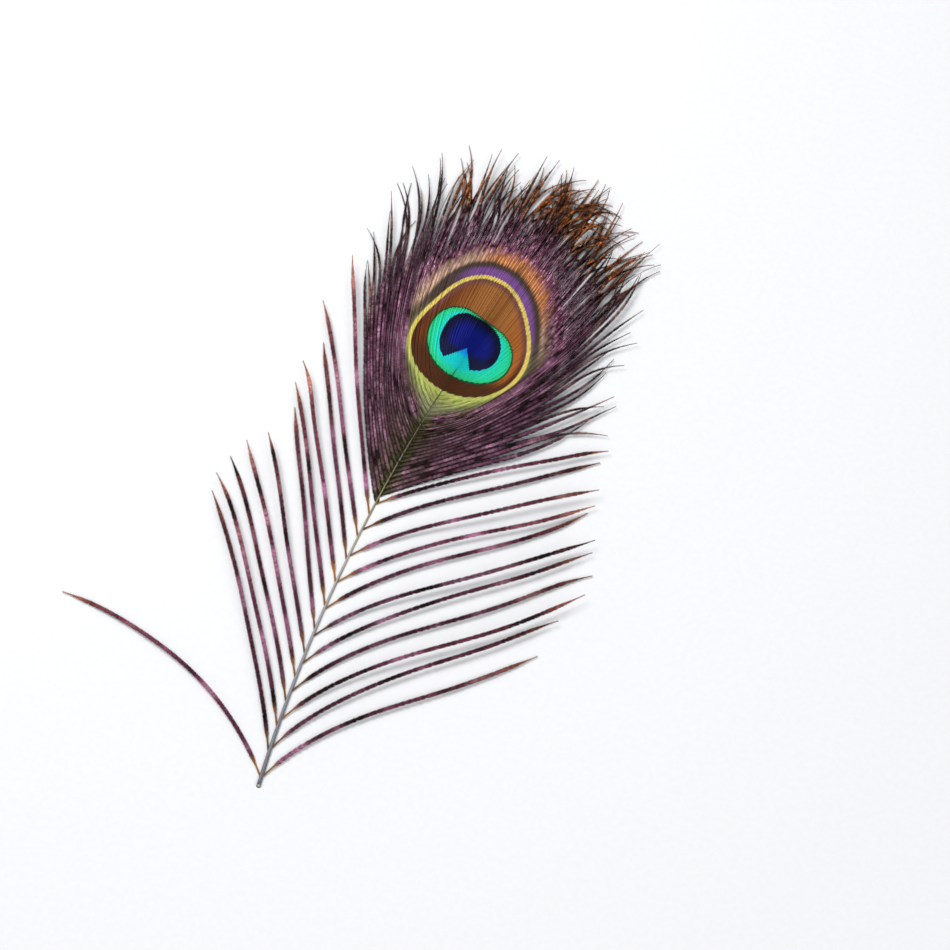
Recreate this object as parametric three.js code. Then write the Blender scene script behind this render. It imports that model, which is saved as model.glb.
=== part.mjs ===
// A cut peacock eye feather, lying face up on a flat surface.
//
// Millimetres. +Y runs along the shaft from the cut end to the crown, +X is to the right
// seen from above, +Z is up. The origin is on the surface, under the middle of the outline.

import * as THREE from 'three';

// ---------------------------------------------------------------- driving dimensions

// Where the middle of the cut end lies, from the origin.
const CUT_END = { x: 10.23, y: -121.9 };

// The shaft is one long arc: it starts leaning left and ends leaning right.
const SHAFT_LENGTH = 172;
const SHAFT_BEND_RADIUS = 546;
const SHAFT_START_HEADING = THREE.MathUtils.degToRad(100.5);
const SHAFT_CUT_WIDTH = 1.4;
const SHAFT_TIP_WIDTH = 0.25;
const SHAFT_TAPER_POWER = 0.9;
const SHAFT_HEIGHT_SHARE = 0.85;
const SHAFT_CUT_LEAN = 1.2;
const SHAFT_SIDES = 12;
const SHAFT_STEPS = 26;

// Barbs leave the shaft this far from its side face.
const ROOT_GAP = 0.35;

// One loose barb: a flat, tapering strip.
const BARB_WIDTH = 1.2;
const BARB_THICKNESS = 0.6;
const BARB_TIP_SHARE = 0.3;
const BARB_SIDES = 6;
const BARB_STEPS = 12;
const BARB_ARCH = 1.0;
const BARB_SWAY_DEGREES = 1.2;
const BARB_SWAY_STEP = 2.4;

// Neighbouring loose barbs lie in three layers, so that they may cross near their tips.
const LAYERS = 3;
const LAYER_RISE = 1.6;
const SURFACE_CLEARANCE = 0.05;

// The close rows, each as one plate that reaches the tips of its barbs.
const FLANK_TO = 137;
const EYE_FROM = 138.2;
const EYE_TO = 171;
const FLANK_THICKNESS = 1.0;
const EYE_THICKNESS = 1.2;
const OUTLINE_STEP = 6;
const OUTLINE_BARB_POINTS = 16;

// How a barb runs, by where its root is on the shaft. Each barb leaves the shaft at the angle
// `leave`, bends towards the angle `spread` over about the length `settle`, and gains or loses
// `curl` at its tip. Angles are in degrees from the shaft's heading at the root.
const LEFT_ROW = [
  { at: 4, length: 95, leave: 36, spread: 92, settle: 80, curl: -14 },
  { at: 12.8, length: 92, leave: 23, spread: 36, settle: 40, curl: 2 },
  { at: 21.6, length: 90, leave: 23, spread: 34, settle: 36, curl: 0 },
  { at: 30.4, length: 88, leave: 26, spread: 34, settle: 30, curl: -2 },
  { at: 40, length: 84, leave: 28, spread: 34, settle: 30, curl: -1 },
  { at: 50, length: 76, leave: 28, spread: 29, settle: 30, curl: 3 },
  { at: 60, length: 80, leave: 28, spread: 29, settle: 30, curl: 1 },
  { at: 84, length: 78, leave: 31, spread: 33, settle: 30, curl: 0 },
  { at: 100, length: 93, leave: 33, spread: 31, settle: 30, curl: 2 },
  { at: 111, length: 94, leave: 40, spread: 25, settle: 32, curl: 4 },
  { at: 123, length: 103, leave: 50, spread: 14, settle: 36, curl: 0 },
  { at: 134, length: 104, leave: 58, spread: 7, settle: 32, curl: -4 },
  { at: 142, length: 100, leave: 64, spread: 5, settle: 26, curl: -6 },
  { at: 149, length: 95, leave: 63, spread: 5, settle: 19, curl: -6 },
  { at: 157, length: 88, leave: 60, spread: 4, settle: 11, curl: -5 },
  { at: 164, length: 81, leave: 54, spread: 3, settle: 5.5, curl: -3 },
  { at: 168, length: 77, leave: 40, spread: 1.6, settle: 3, curl: -1 },
  { at: 171, length: 74, leave: 10, spread: 0.6, settle: 2, curl: 0 },
];
const RIGHT_ROW = [
  { at: 4, length: 100, leave: 28, spread: 64, settle: 34, curl: 12 },
  { at: 15, length: 105, leave: 28, spread: 63, settle: 32, curl: 14 },
  { at: 25, length: 110, leave: 28, spread: 62, settle: 30, curl: 18 },
  { at: 36, length: 108, leave: 30, spread: 61, settle: 30, curl: 16 },
  { at: 50, length: 102, leave: 32, spread: 60, settle: 30, curl: 15 },
  { at: 66, length: 94, leave: 34, spread: 60, settle: 30, curl: 12 },
  { at: 88, length: 86, leave: 38, spread: 59, settle: 30, curl: 8 },
  { at: 105, length: 81, leave: 41, spread: 55, settle: 30, curl: 8 },
  { at: 117, length: 82, leave: 47, spread: 42, settle: 32, curl: 8 },
  { at: 125, length: 92, leave: 54, spread: 24, settle: 34, curl: 6 },
  { at: 134, length: 104, leave: 59, spread: 10, settle: 32, curl: 0 },
  { at: 142, length: 100, leave: 64, spread: 5, settle: 26, curl: -6 },
  { at: 149, length: 95, leave: 63, spread: 5, settle: 19, curl: -6 },
  { at: 157, length: 88, leave: 60, spread: 4, settle: 11, curl: -5 },
  { at: 164, length: 81, leave: 54, spread: 3, settle: 5.5, curl: -3 },
  { at: 168, length: 77, leave: 40, spread: 1.6, settle: 3, curl: -1 },
  { at: 171, length: 74, leave: 10, spread: 0.6, settle: 2, curl: 0 },
];
// The two sides of the shaft: their rows, where their loose barbs are, and where their flank
// barbs start.
const SIDES = {
  left: {
    turn: 1,
    row: LEFT_ROW,
    looseBarbs: 12,
    firstLooseBarbAt: 4,
    looseBarbSpacing: 8.8,
    flankFrom: 106.5,
  },
  right: {
    turn: -1,
    row: RIGHT_ROW,
    looseBarbs: 11,
    firstLooseBarbAt: 4,
    looseBarbSpacing: 10.1,
    flankFrom: 109,
  },
};

// ---------------------------------------------------------------- materials

const shaftMaterial = new THREE.MeshStandardMaterial({ color: 0x8d8270, roughness: 0.45 });
const looseBarbMaterial = new THREE.MeshStandardMaterial({ color: 0x6a3a5c, roughness: 0.6 });
const flankMaterial = new THREE.MeshStandardMaterial({ color: 0x7a4668, roughness: 0.6 });
const eyeMaterial = new THREE.MeshStandardMaterial({
  color: 0x1f9a80,
  roughness: 0.4,
  metalness: 0.3,
});

// ---------------------------------------------------------------- shaft and barb lines

/** Heading of the shaft, in radians from +X, at a distance along it from the cut end. */
function shaftHeading(at) {
  return SHAFT_START_HEADING - at / SHAFT_BEND_RADIUS;
}

/** Point of the shaft's centre line, on the surface, at a distance from the cut end. */
function shaftPoint(at) {
  const heading = shaftHeading(at);
  const x = SHAFT_BEND_RADIUS * (Math.sin(SHAFT_START_HEADING) - Math.sin(heading));
  const y = SHAFT_BEND_RADIUS * (Math.cos(heading) - Math.cos(SHAFT_START_HEADING));
  return new THREE.Vector2(CUT_END.x + x, CUT_END.y + y);
}

/** Width of the shaft at a distance from the cut end. */
function shaftWidth(at) {
  const share = Math.min(at / SHAFT_LENGTH, 1) ** SHAFT_TAPER_POWER;
  return THREE.MathUtils.lerp(SHAFT_CUT_WIDTH, SHAFT_TIP_WIDTH, share);
}

/** How a barb runs whose root is at a distance along the shaft: a blend of two stations. */
function barbStation(row, at) {
  const next = Math.max(1, row.findIndex((station) => station.at >= at));
  const low = row[next - 1];
  const high = row[next];
  const share = (at - low.at) / (high.at - low.at);
  const blend = (key) => THREE.MathUtils.lerp(low[key], high[key], share);
  return {
    length: blend('length'),
    leave: blend('leave'),
    spread: blend('spread'),
    settle: blend('settle'),
    curl: blend('curl'),
  };
}

/** Plan points of one barb, from its root beside the shaft to its tip. */
function barbPlan(side, at, count, sway = 0) {
  const { turn, row } = SIDES[side];
  const { length, leave, spread, settle, curl } = barbStation(row, at);
  const heading = shaftHeading(at);
  const rootOffset = turn * (shaftWidth(at) / 2 + ROOT_GAP);
  const point = shaftPoint(at);
  point.x -= rootOffset * Math.sin(heading);
  point.y += rootOffset * Math.cos(heading);
  const points = [point.clone()];
  const step = length / count;
  for (let i = 0; i < count; i += 1) {
    const along = (i + 0.5) * step;
    const bend = (leave - spread) * Math.exp(-along / settle);
    const angle = spread + bend - curl * (along / length) ** 3 + sway;
    const direction = heading + turn * THREE.MathUtils.degToRad(angle);
    point.x += step * Math.cos(direction);
    point.y += step * Math.sin(direction);
    points.push(point.clone());
  }
  return points;
}

// ---------------------------------------------------------------- solids

/** Unit polygon from -1 to 1 each way, with a flat edge at the top and at the bottom. */
function flatBottomSection(sides) {
  const half = Math.PI / sides;
  const points = [];
  for (let i = 0; i < sides; i += 1) {
    const angle = -Math.PI / 2 + half + i * 2 * half;
    points.push(new THREE.Vector2(Math.cos(angle), Math.sin(angle) / Math.cos(half)));
  }
  return new THREE.Shape(points);
}

/**
 * A section extruded straight, then bent along a line and scaled on the way.
 * `sizeAt(share)` gives the half width and the half height there, and `cutLean` slants the
 * first face: its top stands that far back from its bottom.
 */
function bentExtrusion(section, curve, steps, sizeAt, cutLean = 0) {
  const geometry = new THREE.ExtrudeGeometry(section, { depth: 1, steps, bevelEnabled: false });
  const position = geometry.getAttribute('position');
  const up = new THREE.Vector3(0, 0, 1);
  for (let i = 0; i < position.count; i += 1) {
    const share = position.getZ(i);
    const size = sizeAt(share);
    const tangent = curve.getTangentAt(share);
    const across = new THREE.Vector3().crossVectors(up, tangent).normalize();
    const rise = new THREE.Vector3().crossVectors(tangent, across);
    const point = curve.getPointAt(share);
    point.addScaledVector(across, size.halfWidth * position.getX(i));
    point.addScaledVector(rise, size.halfHeight * position.getY(i));
    if (share === 0) {
      point.addScaledVector(tangent, (cutLean * (position.getY(i) + 1)) / 2);
    }
    position.setXYZ(i, point.x, point.y, point.z);
  }
  geometry.computeVertexNormals();
  return geometry;
}

/** The shaft: flat underneath, so that it lies along the surface over its whole length. */
function makeShaft() {
  const sizeAt = (share) => {
    const width = shaftWidth(share * SHAFT_LENGTH);
    return { halfWidth: width / 2, halfHeight: (width * SHAFT_HEIGHT_SHARE) / 2 };
  };
  const points = [];
  for (let i = 0; i <= SHAFT_STEPS; i += 1) {
    const share = i / SHAFT_STEPS;
    const plan = shaftPoint(share * SHAFT_LENGTH);
    points.push(new THREE.Vector3(plan.x, plan.y, sizeAt(share).halfHeight));
  }
  const curve = new THREE.CatmullRomCurve3(points);
  const section = flatBottomSection(SHAFT_SIDES);
  const geometry = bentExtrusion(section, curve, SHAFT_STEPS, sizeAt, SHAFT_CUT_LEAN);
  const mesh = new THREE.Mesh(geometry, shaftMaterial);
  mesh.name = 'shaft';
  return mesh;
}

/** One loose barb, by its number from the cut end: an arched strip that thins to its tip. */
function makeLooseBarb(side, number) {
  const { firstLooseBarbAt, looseBarbSpacing } = SIDES[side];
  const at = firstLooseBarbAt + looseBarbSpacing * (number - 1);
  const layer = (number - 1) % LAYERS;
  const sway = BARB_SWAY_DEGREES * Math.sin(number * BARB_SWAY_STEP);
  const lowest = SURFACE_CLEARANCE + BARB_THICKNESS / 2;
  const rootHeight = Math.max((shaftWidth(at) * SHAFT_HEIGHT_SHARE) / 2, lowest);
  const tipHeight = lowest + LAYER_RISE * layer;
  const points = barbPlan(side, at, BARB_STEPS, sway).map((plan, i) => {
    const share = i / BARB_STEPS;
    const level = THREE.MathUtils.lerp(rootHeight, tipHeight, share);
    return new THREE.Vector3(plan.x, plan.y, level + BARB_ARCH * Math.sin(Math.PI * share));
  });
  const sizeAt = (share) => {
    const taper = THREE.MathUtils.lerp(1, BARB_TIP_SHARE, share ** 2);
    return { halfWidth: (BARB_WIDTH * taper) / 2, halfHeight: (BARB_THICKNESS * taper) / 2 };
  };
  const curve = new THREE.CatmullRomCurve3(points);
  const geometry = bentExtrusion(flatBottomSection(BARB_SIDES), curve, BARB_STEPS, sizeAt);
  const mesh = new THREE.Mesh(geometry, looseBarbMaterial);
  mesh.name = `loose_barb_${side}_${String(number).padStart(2, '0')}`;
  return mesh;
}

/** A plate over the barbs with roots between two places on the shaft, out to their tips. */
function makeBarbPlate(side, from, to, thickness, name, material) {
  const outline = [...barbPlan(side, from, OUTLINE_BARB_POINTS)];
  const stretches = Math.ceil((to - from) / OUTLINE_STEP);
  const stretch = (to - from) / stretches;
  for (let i = 1; i < stretches; i += 1) {
    const barb = barbPlan(side, from + i * stretch, OUTLINE_BARB_POINTS);
    outline.push(barb[barb.length - 1]);
  }
  outline.push(...barbPlan(side, to, OUTLINE_BARB_POINTS).reverse());
  for (let i = stretches - 1; i > 0; i -= 1) {
    outline.push(barbPlan(side, from + i * stretch, OUTLINE_BARB_POINTS)[0]);
  }
  const shape = new THREE.Shape(outline);
  const geometry = new THREE.ExtrudeGeometry(shape, { depth: thickness, bevelEnabled: false });
  const mesh = new THREE.Mesh(geometry, material);
  mesh.name = name;
  return mesh;
}

// ---------------------------------------------------------------- the feather

const feather = new THREE.Group();
feather.add(makeShaft());
for (const side of Object.keys(SIDES)) {
  const { looseBarbs, flankFrom } = SIDES[side];
  for (let number = 1; number <= looseBarbs; number += 1) {
    feather.add(makeLooseBarb(side, number));
  }
  const flank = `flank_barbs_${side}`;
  feather.add(makeBarbPlate(side, flankFrom, FLANK_TO, FLANK_THICKNESS, flank, flankMaterial));
  const eye = `eye_barbs_${side}`;
  feather.add(makeBarbPlate(side, EYE_FROM, EYE_TO, EYE_THICKNESS, eye, eyeMaterial));
}

export default feather;
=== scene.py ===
"""A cut peacock eye feather, lying face up on a pale surface.

The shaft is one long arc with a row of barbs on each side. The loose barbs below are built one
by one, and the close barbs beside the eye and in it as four pieces, each of many barbs. Every
barb is a bent strip, and where its barbules stand free it carries them as small blades.

Lengths are in millimetres and angles in degrees, unless a name says otherwise. +Y runs along the
feather from the cut end to the crown, +X to the right seen from above, and +Z up.
"""

import logging
import math
from dataclasses import dataclass, field
from enum import Enum, StrEnum
from random import Random
from typing import Callable

import bmesh
import bpy
from mathutils import Matrix, Vector


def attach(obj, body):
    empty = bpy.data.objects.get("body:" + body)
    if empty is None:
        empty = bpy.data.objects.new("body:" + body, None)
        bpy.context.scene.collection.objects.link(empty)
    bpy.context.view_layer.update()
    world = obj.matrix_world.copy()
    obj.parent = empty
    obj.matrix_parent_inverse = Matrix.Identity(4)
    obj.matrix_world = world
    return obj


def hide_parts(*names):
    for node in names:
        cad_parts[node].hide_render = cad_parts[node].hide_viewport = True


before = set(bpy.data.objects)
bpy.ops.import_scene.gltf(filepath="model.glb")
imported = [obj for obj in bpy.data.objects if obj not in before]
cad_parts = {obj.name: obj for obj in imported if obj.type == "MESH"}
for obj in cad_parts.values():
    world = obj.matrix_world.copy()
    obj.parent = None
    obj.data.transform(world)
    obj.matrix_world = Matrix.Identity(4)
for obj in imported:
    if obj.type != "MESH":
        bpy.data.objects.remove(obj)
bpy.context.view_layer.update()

LOG = logging.getLogger("peacock_feather")
MM = 0.001
BODY = "root"

Tree = bpy.types.NodeTree
Node = bpy.types.Node
Socket = bpy.types.NodeSocket
Material = bpy.types.Material
Span = tuple[float, float]


# ---------------------------------------------------------------- small helpers


def linear(hex_colour: str) -> tuple[float, float, float, float]:
    """Turn an sRGB hex colour to linear RGBA.

    Args:
        hex_colour: The colour, such as "#8a4a7a".

    Returns:
        Its red, green, blue and alpha.
    """
    channels = []
    for start in (1, 3, 5):
        value = int(hex_colour[start : start + 2], 16) / 255.0
        channels.append(value / 12.92 if value <= 0.04045 else ((value + 0.055) / 1.055) ** 2.4)
    return (channels[0], channels[1], channels[2], 1.0)


def mix_number(low: float, high: float, share: float) -> float:
    """Blend two numbers by a share from 0 to 1."""
    return low + (high - low) * share


def ease(low: float, high: float, value: float) -> float:
    """Smooth step from 0 at `low` to 1 at `high`."""
    share = min(max((value - low) / (high - low), 0.0), 1.0)
    return share * share * (3.0 - 2.0 * share)


def add_node(tree: Tree, kind: str, inputs: dict | None = None, **settings: object) -> Node:
    """Add one node, set its properties and fill its sockets.

    Args:
        tree: The node tree that the node goes in.
        kind: The node's class name.
        inputs: Socket name or number to a value, to the output socket that feeds it, or to
            the node whose first output in use feeds it.
        settings: Properties of the node itself.

    Returns:
        The new node.
    """
    node = tree.nodes.new(kind)
    for name, value in settings.items():
        setattr(node, name, value)
    for key, value in (inputs or {}).items():
        if isinstance(value, Node):
            value = next(socket for socket in value.outputs if socket.enabled)
        if isinstance(value, Socket):
            tree.links.new(value, node.inputs[key])
        else:
            node.inputs[key].default_value = value
    return node


def set_ramp(node: Node, stops: tuple[tuple[float, str], ...]) -> None:
    """Give a colour ramp its stops.

    Args:
        node: The colour ramp node.
        stops: Places from 0 to 1, each with an sRGB hex colour.
    """
    elements = node.color_ramp.elements
    while len(elements) > 1:
        elements.remove(elements[-1])
    elements[0].position = stops[0][0]
    elements[0].color = linear(stops[0][1])
    for place, colour in stops[1:]:
        elements.new(place).color = linear(colour)


# ---------------------------------------------------------------- lines of the feather


class Side(Enum):
    """A side of the shaft, seen from above with the crown away; its value is the turn."""

    LEFT = 1
    RIGHT = -1

    @property
    def word(self) -> str:
        """The side's name as node names have it."""
        return self.name.lower()


@dataclass(frozen=True)
class ShaftLine:
    """The shaft's arc on the surface, and its thickness along it."""

    cut_x: float = 10.23
    cut_y: float = -121.9
    length: float = 172.0
    bend_radius: float = 546.0
    start_heading: float = math.radians(100.5)
    cut_width: float = 1.4
    tip_width: float = 0.25
    taper_power: float = 0.9
    height_share: float = 0.85

    def heading(self, at: float) -> float:
        """Direction of the shaft in radians from +X, at a distance from the cut end."""
        return self.start_heading - at / self.bend_radius

    def point(self, at: float) -> Vector:
        """Point of the centre line on the surface.

        Args:
            at: The distance from the cut end.

        Returns:
            The point.
        """
        heading = self.heading(at)
        x = self.bend_radius * (math.sin(self.start_heading) - math.sin(heading))
        y = self.bend_radius * (math.cos(heading) - math.cos(self.start_heading))
        return Vector((self.cut_x + x, self.cut_y + y, 0.0))

    def width(self, at: float) -> float:
        """Width of the shaft at a distance from the cut end."""
        share = min(at / self.length, 1.0) ** self.taper_power
        return mix_number(self.cut_width, self.tip_width, share)

    def height(self, at: float) -> float:
        """Height of the shaft at a distance from the cut end."""
        return self.width(at) * self.height_share

    def aside(self, point: Vector) -> float:
        """Distance of a point from the straight line that goes on where the shaft ends.

        Args:
            point: The point.

        Returns:
            The distance, to either side.
        """
        heading = self.heading(self.length)
        offset = point - self.point(self.length)
        return abs(offset.y * math.cos(heading) - offset.x * math.sin(heading))


@dataclass(frozen=True)
class Station:
    """How a barb runs whose root is `at` a distance along the shaft.

    It leaves the shaft at the angle `leave`, bends towards `spread` over about the length
    `settle`, and loses `curl` by its tip.
    """

    at: float
    length: float
    leave: float
    spread: float
    settle: float
    curl: float


LOWER_LEFT = (
    Station(4, 95, 36, 92, 80, -14),
    Station(12.8, 92, 23, 36, 40, 2),
    Station(21.6, 90, 23, 34, 36, 0),
    Station(30.4, 88, 26, 34, 30, -2),
    Station(40, 84, 28, 34, 30, -1),
    Station(50, 76, 28, 29, 30, 3),
    Station(60, 80, 28, 29, 30, 1),
    Station(84, 78, 31, 33, 30, 0),
    Station(100, 93, 33, 31, 30, 2),
    Station(111, 94, 40, 25, 32, 4),
    Station(123, 103, 50, 14, 36, 0),
    Station(134, 104, 58, 7, 32, -4),
)
LOWER_RIGHT = (
    Station(4, 100, 28, 64, 34, 12),
    Station(15, 105, 28, 63, 32, 14),
    Station(25, 110, 28, 62, 30, 18),
    Station(36, 108, 30, 61, 30, 16),
    Station(50, 102, 32, 60, 30, 15),
    Station(66, 94, 34, 60, 30, 12),
    Station(88, 86, 38, 59, 30, 8),
    Station(105, 81, 41, 55, 30, 8),
    Station(117, 82, 47, 42, 32, 8),
    Station(125, 92, 54, 24, 34, 6),
    Station(134, 104, 59, 10, 32, 0),
)
EYE_STATIONS = (
    Station(142, 100, 64, 5, 26, -6),
    Station(149, 95, 63, 5, 19, -6),
    Station(157, 88, 60, 4, 11, -5),
    Station(164, 81, 54, 3, 5.5, -3),
    Station(168, 77, 40, 1.6, 3, -1),
    Station(171, 74, 10, 0.6, 2, 0),
)
AXIS_STATION = Station(171.6, 73.5, 0, 0, 2, 0)


@dataclass(frozen=True)
class Habit:
    """What makes one barb differ from its neighbours.

    Attributes:
        sway: Turn of the whole barb.
        wave: Swing of its line, growing towards the tip.
        phase: Where that swing starts, in turns.
        gather: Turn of its outer part towards the barbs that it clings to.
        hook: Turn of its tip.
        hook_start: Share of its length at which that turn starts.
        arch: Rise of its middle above the surface.
        base_height: Height that its row's tips come down to.
        tip_height: Height of its own tip's centre line.
        stretch: Share of the station's length.
        tone: Its own shade, from 0 to 1.
    """

    sway: float = 0.0
    wave: float = 0.0
    phase: float = 0.0
    gather: float = 0.0
    hook: float = 0.0
    hook_start: float = 0.66
    arch: float = 1.0
    base_height: float = 0.8
    tip_height: float = 0.8
    stretch: float = 1.0
    tone: float = 0.5


WAVES_A_BARB = 1.6


@dataclass(frozen=True)
class BarbRow:
    """One side's row of barbs.

    Attributes:
        side: The side of the shaft.
        stations: How the barbs run at a few places along it.
        shaft: The shaft's line.
        loose_barbs: How many stand loose below the eye.
        loose_spacing: Distance between their roots.
        flank_start: Place of the first close barb.
        loose_tones: The darkest and the lightest loose barbs' tones.
        first_loose_at: Place of the first loose barb.
        root_aside: Place of a root off the shaft's centre line, as a share of its width.
        root_heights: Height of a root, as a share of the shaft's, on its side and on its top.
        climb: Stretch of the shaft where the roots move from its side to its top.
        hook_end: Share of the length at which a tip's turn would be complete.
    """

    side: Side
    stations: tuple[Station, ...]
    shaft: ShaftLine
    loose_barbs: int
    loose_spacing: float
    flank_start: float
    loose_tones: Span
    first_loose_at: float = 4.0
    root_aside: float = 0.35
    root_heights: Span = (0.5, 1.0)
    climb: Span = (140.0, 150.0)
    hook_end: float = 1.1

    def station(self, at: float) -> Station:
        """How a barb runs at a place on the shaft: a blend of its two stations.

        Args:
            at: The root's distance from the cut end.

        Returns:
            The blend, as a station of its own.
        """
        last = len(self.stations) - 1
        high = next((i for i, s in enumerate(self.stations) if s.at >= at), last)
        high = max(high, 1)
        low_station, high_station = self.stations[high - 1], self.stations[high]
        share = (at - low_station.at) / (high_station.at - low_station.at)
        names = ("length", "leave", "spread", "settle", "curl")
        values = [
            mix_number(getattr(low_station, n), getattr(high_station, n), share) for n in names
        ]
        return Station(at, *values)

    def line(
        self,
        at: float,
        habit: Habit,
        steps: int,
        freedom: Callable[[float, Vector], float] = lambda along, point: along,
    ) -> list[Vector]:
        """Centre line of one barb, from inside the shaft's side face to its tip.

        Args:
            at: The root's distance from the cut end.
            habit: What makes this barb differ.
            steps: How many straight stretches the line has.
            freedom: How free the barb is of its neighbours, from 0 to 1, by the share of its
                length and the place.

        Returns:
            Its points, one more than the steps.
        """
        station = self.station(at)
        turn = self.side.value
        heading = self.shaft.heading(at)
        inner = ease(*self.climb, at)
        root_offset = turn * self.shaft.width(at) * self.root_aside * (1.0 - inner)
        point = self.shaft.point(at)
        point += Vector((-math.sin(heading), math.cos(heading), 0.0)) * root_offset
        root_height = self.shaft.height(at) * mix_number(*self.root_heights, inner)
        length = station.length * habit.stretch
        step = length / steps
        points = []
        for i in range(steps + 1):
            share = i / steps
            free = freedom(share, point)
            level = mix_number(root_height, habit.base_height, share)
            level += (habit.tip_height - habit.base_height) * free
            lift = habit.arch * math.sin(math.pi * share)
            points.append(Vector((point.x, point.y, level + lift)))
            middle = (i + 0.5) * step
            along = middle / length
            bend = (station.leave - station.spread) * math.exp(-middle / station.settle)
            angle = station.spread + bend - station.curl * along**3 + habit.sway
            angle += habit.wave * free * math.sin(math.tau * (WAVES_A_BARB * along + habit.phase))
            angle += habit.gather * free
            angle += habit.hook * ease(habit.hook_start, self.hook_end, along)
            direction = heading + turn * math.radians(angle)
            point = point + Vector((math.cos(direction), math.sin(direction), 0.0)) * step
        return points


# ---------------------------------------------------------------- the eye's outlines


@dataclass(frozen=True)
class Outline:
    """A rounded outline round the eye's centre: a circle with a few waves round it.

    Attributes:
        radius: Its mean radius.
        waves: Height and phase, in degrees, of one, two, three and four waves a turn.
    """

    radius: float
    waves: tuple[tuple[float, float], ...]

    def distance(self, across: float, along: float) -> float:
        """Distance outside the outline, measured from the eye's centre; inside is negative.

        Args:
            across: Place across the eye.
            along: Place along it, towards the crown.

        Returns:
            The distance.
        """
        angle = math.atan2(across, along)
        radius = self.radius
        for order, (height, phase) in enumerate(self.waves, start=1):
            radius += height * math.cos(order * angle + math.radians(phase))
        return math.hypot(across, along) - radius


@dataclass(frozen=True)
class EyePlan:
    """Where the eye is, and the outlines of its coloured zones in its own axes."""

    centre: tuple[float, float] = (4.27, 49.99)
    axis_turn: float = -6.0
    ring: Outline = Outline(21.17, ((0.49, 243), (1.2, 16), (1.13, 36), (0.28, 81)))
    teal: Outline = Outline(13.61, ((3.44, 188), (2.14, 161), (0.3, 79), (0.2, 274)))
    navy: Outline = Outline(10.36, ((1.52, 190), (0.78, 158), (0.28, 101), (0.25, 227)))
    dark_band: Outline = Outline(24.13, ((1.81, 6), (1.48, 13), (1.23, 43)))
    halo: Outline = Outline(30.18, ((1.3, 304), (1.48, 16), (2.21, 14)))
    notch_tip: tuple[float, float] = (0.5, -3.4)
    notch_slope: float = 0.75
    base_tip: tuple[float, float] = (1.2, -32.0)
    midrib_at: float = 1.45

    def local(self, point: Vector) -> tuple[float, float]:
        """Place of a point in the eye's axes.

        Args:
            point: The point, in the feather's own axes.

        Returns:
            Its place across the eye, and along it towards the crown.
        """
        turn = math.radians(self.axis_turn)
        x, y = point.x - self.centre[0], point.y - self.centre[1]
        across = x * math.cos(turn) + y * math.sin(turn)
        along = -x * math.sin(turn) + y * math.cos(turn)
        return across, along


EYE = EyePlan()


# ---------------------------------------------------------------- barb meshes


# No point of the feather lies lower than this.
LOWEST = 0.02


class Mark(StrEnum):
    """Names of the attributes that the barbules and the finishes read."""

    ALONG = "along"
    RUN = "run"
    TONE = "tone"
    EDGE = "edge"
    REACH = "reach"
    GUIDE = "guide"


def unit_tube(sides: int, steps: int) -> bpy.types.Mesh:
    """Closed tube of radius 1 from z = 0 to z = 1.

    Args:
        sides: Sides of its section.
        steps: Stretches along it.

    Returns:
        Its mesh.
    """
    shape = bmesh.new()
    bmesh.ops.create_circle(shape, segments=sides, radius=1.0, cap_ends=False)
    rim = list(shape.edges)
    for _ in range(steps):
        made = bmesh.ops.extrude_edge_only(shape, edges=rim)["geom"]
        moved = [item for item in made if isinstance(item, bmesh.types.BMVert)]
        bmesh.ops.translate(shape, verts=moved, vec=(0.0, 0.0, 1.0 / steps))
        fresh = set(moved)
        rim = [
            item
            for item in made
            if isinstance(item, bmesh.types.BMEdge) and all(v in fresh for v in item.verts)
        ]
    open_edges = [edge for edge in shape.edges if edge.is_boundary]
    bmesh.ops.holes_fill(shape, edges=open_edges, sides=sides)
    bmesh.ops.recalc_face_normals(shape, faces=shape.faces)
    mesh = bpy.data.meshes.new("unit_tube")
    shape.to_mesh(mesh)
    shape.free()
    return mesh


@dataclass
class BarbStrip:
    """Half width and half height of one bent strip at each point of its line."""

    half_widths: list[float]
    half_heights: list[float]
    roll: float = 0.0


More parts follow.
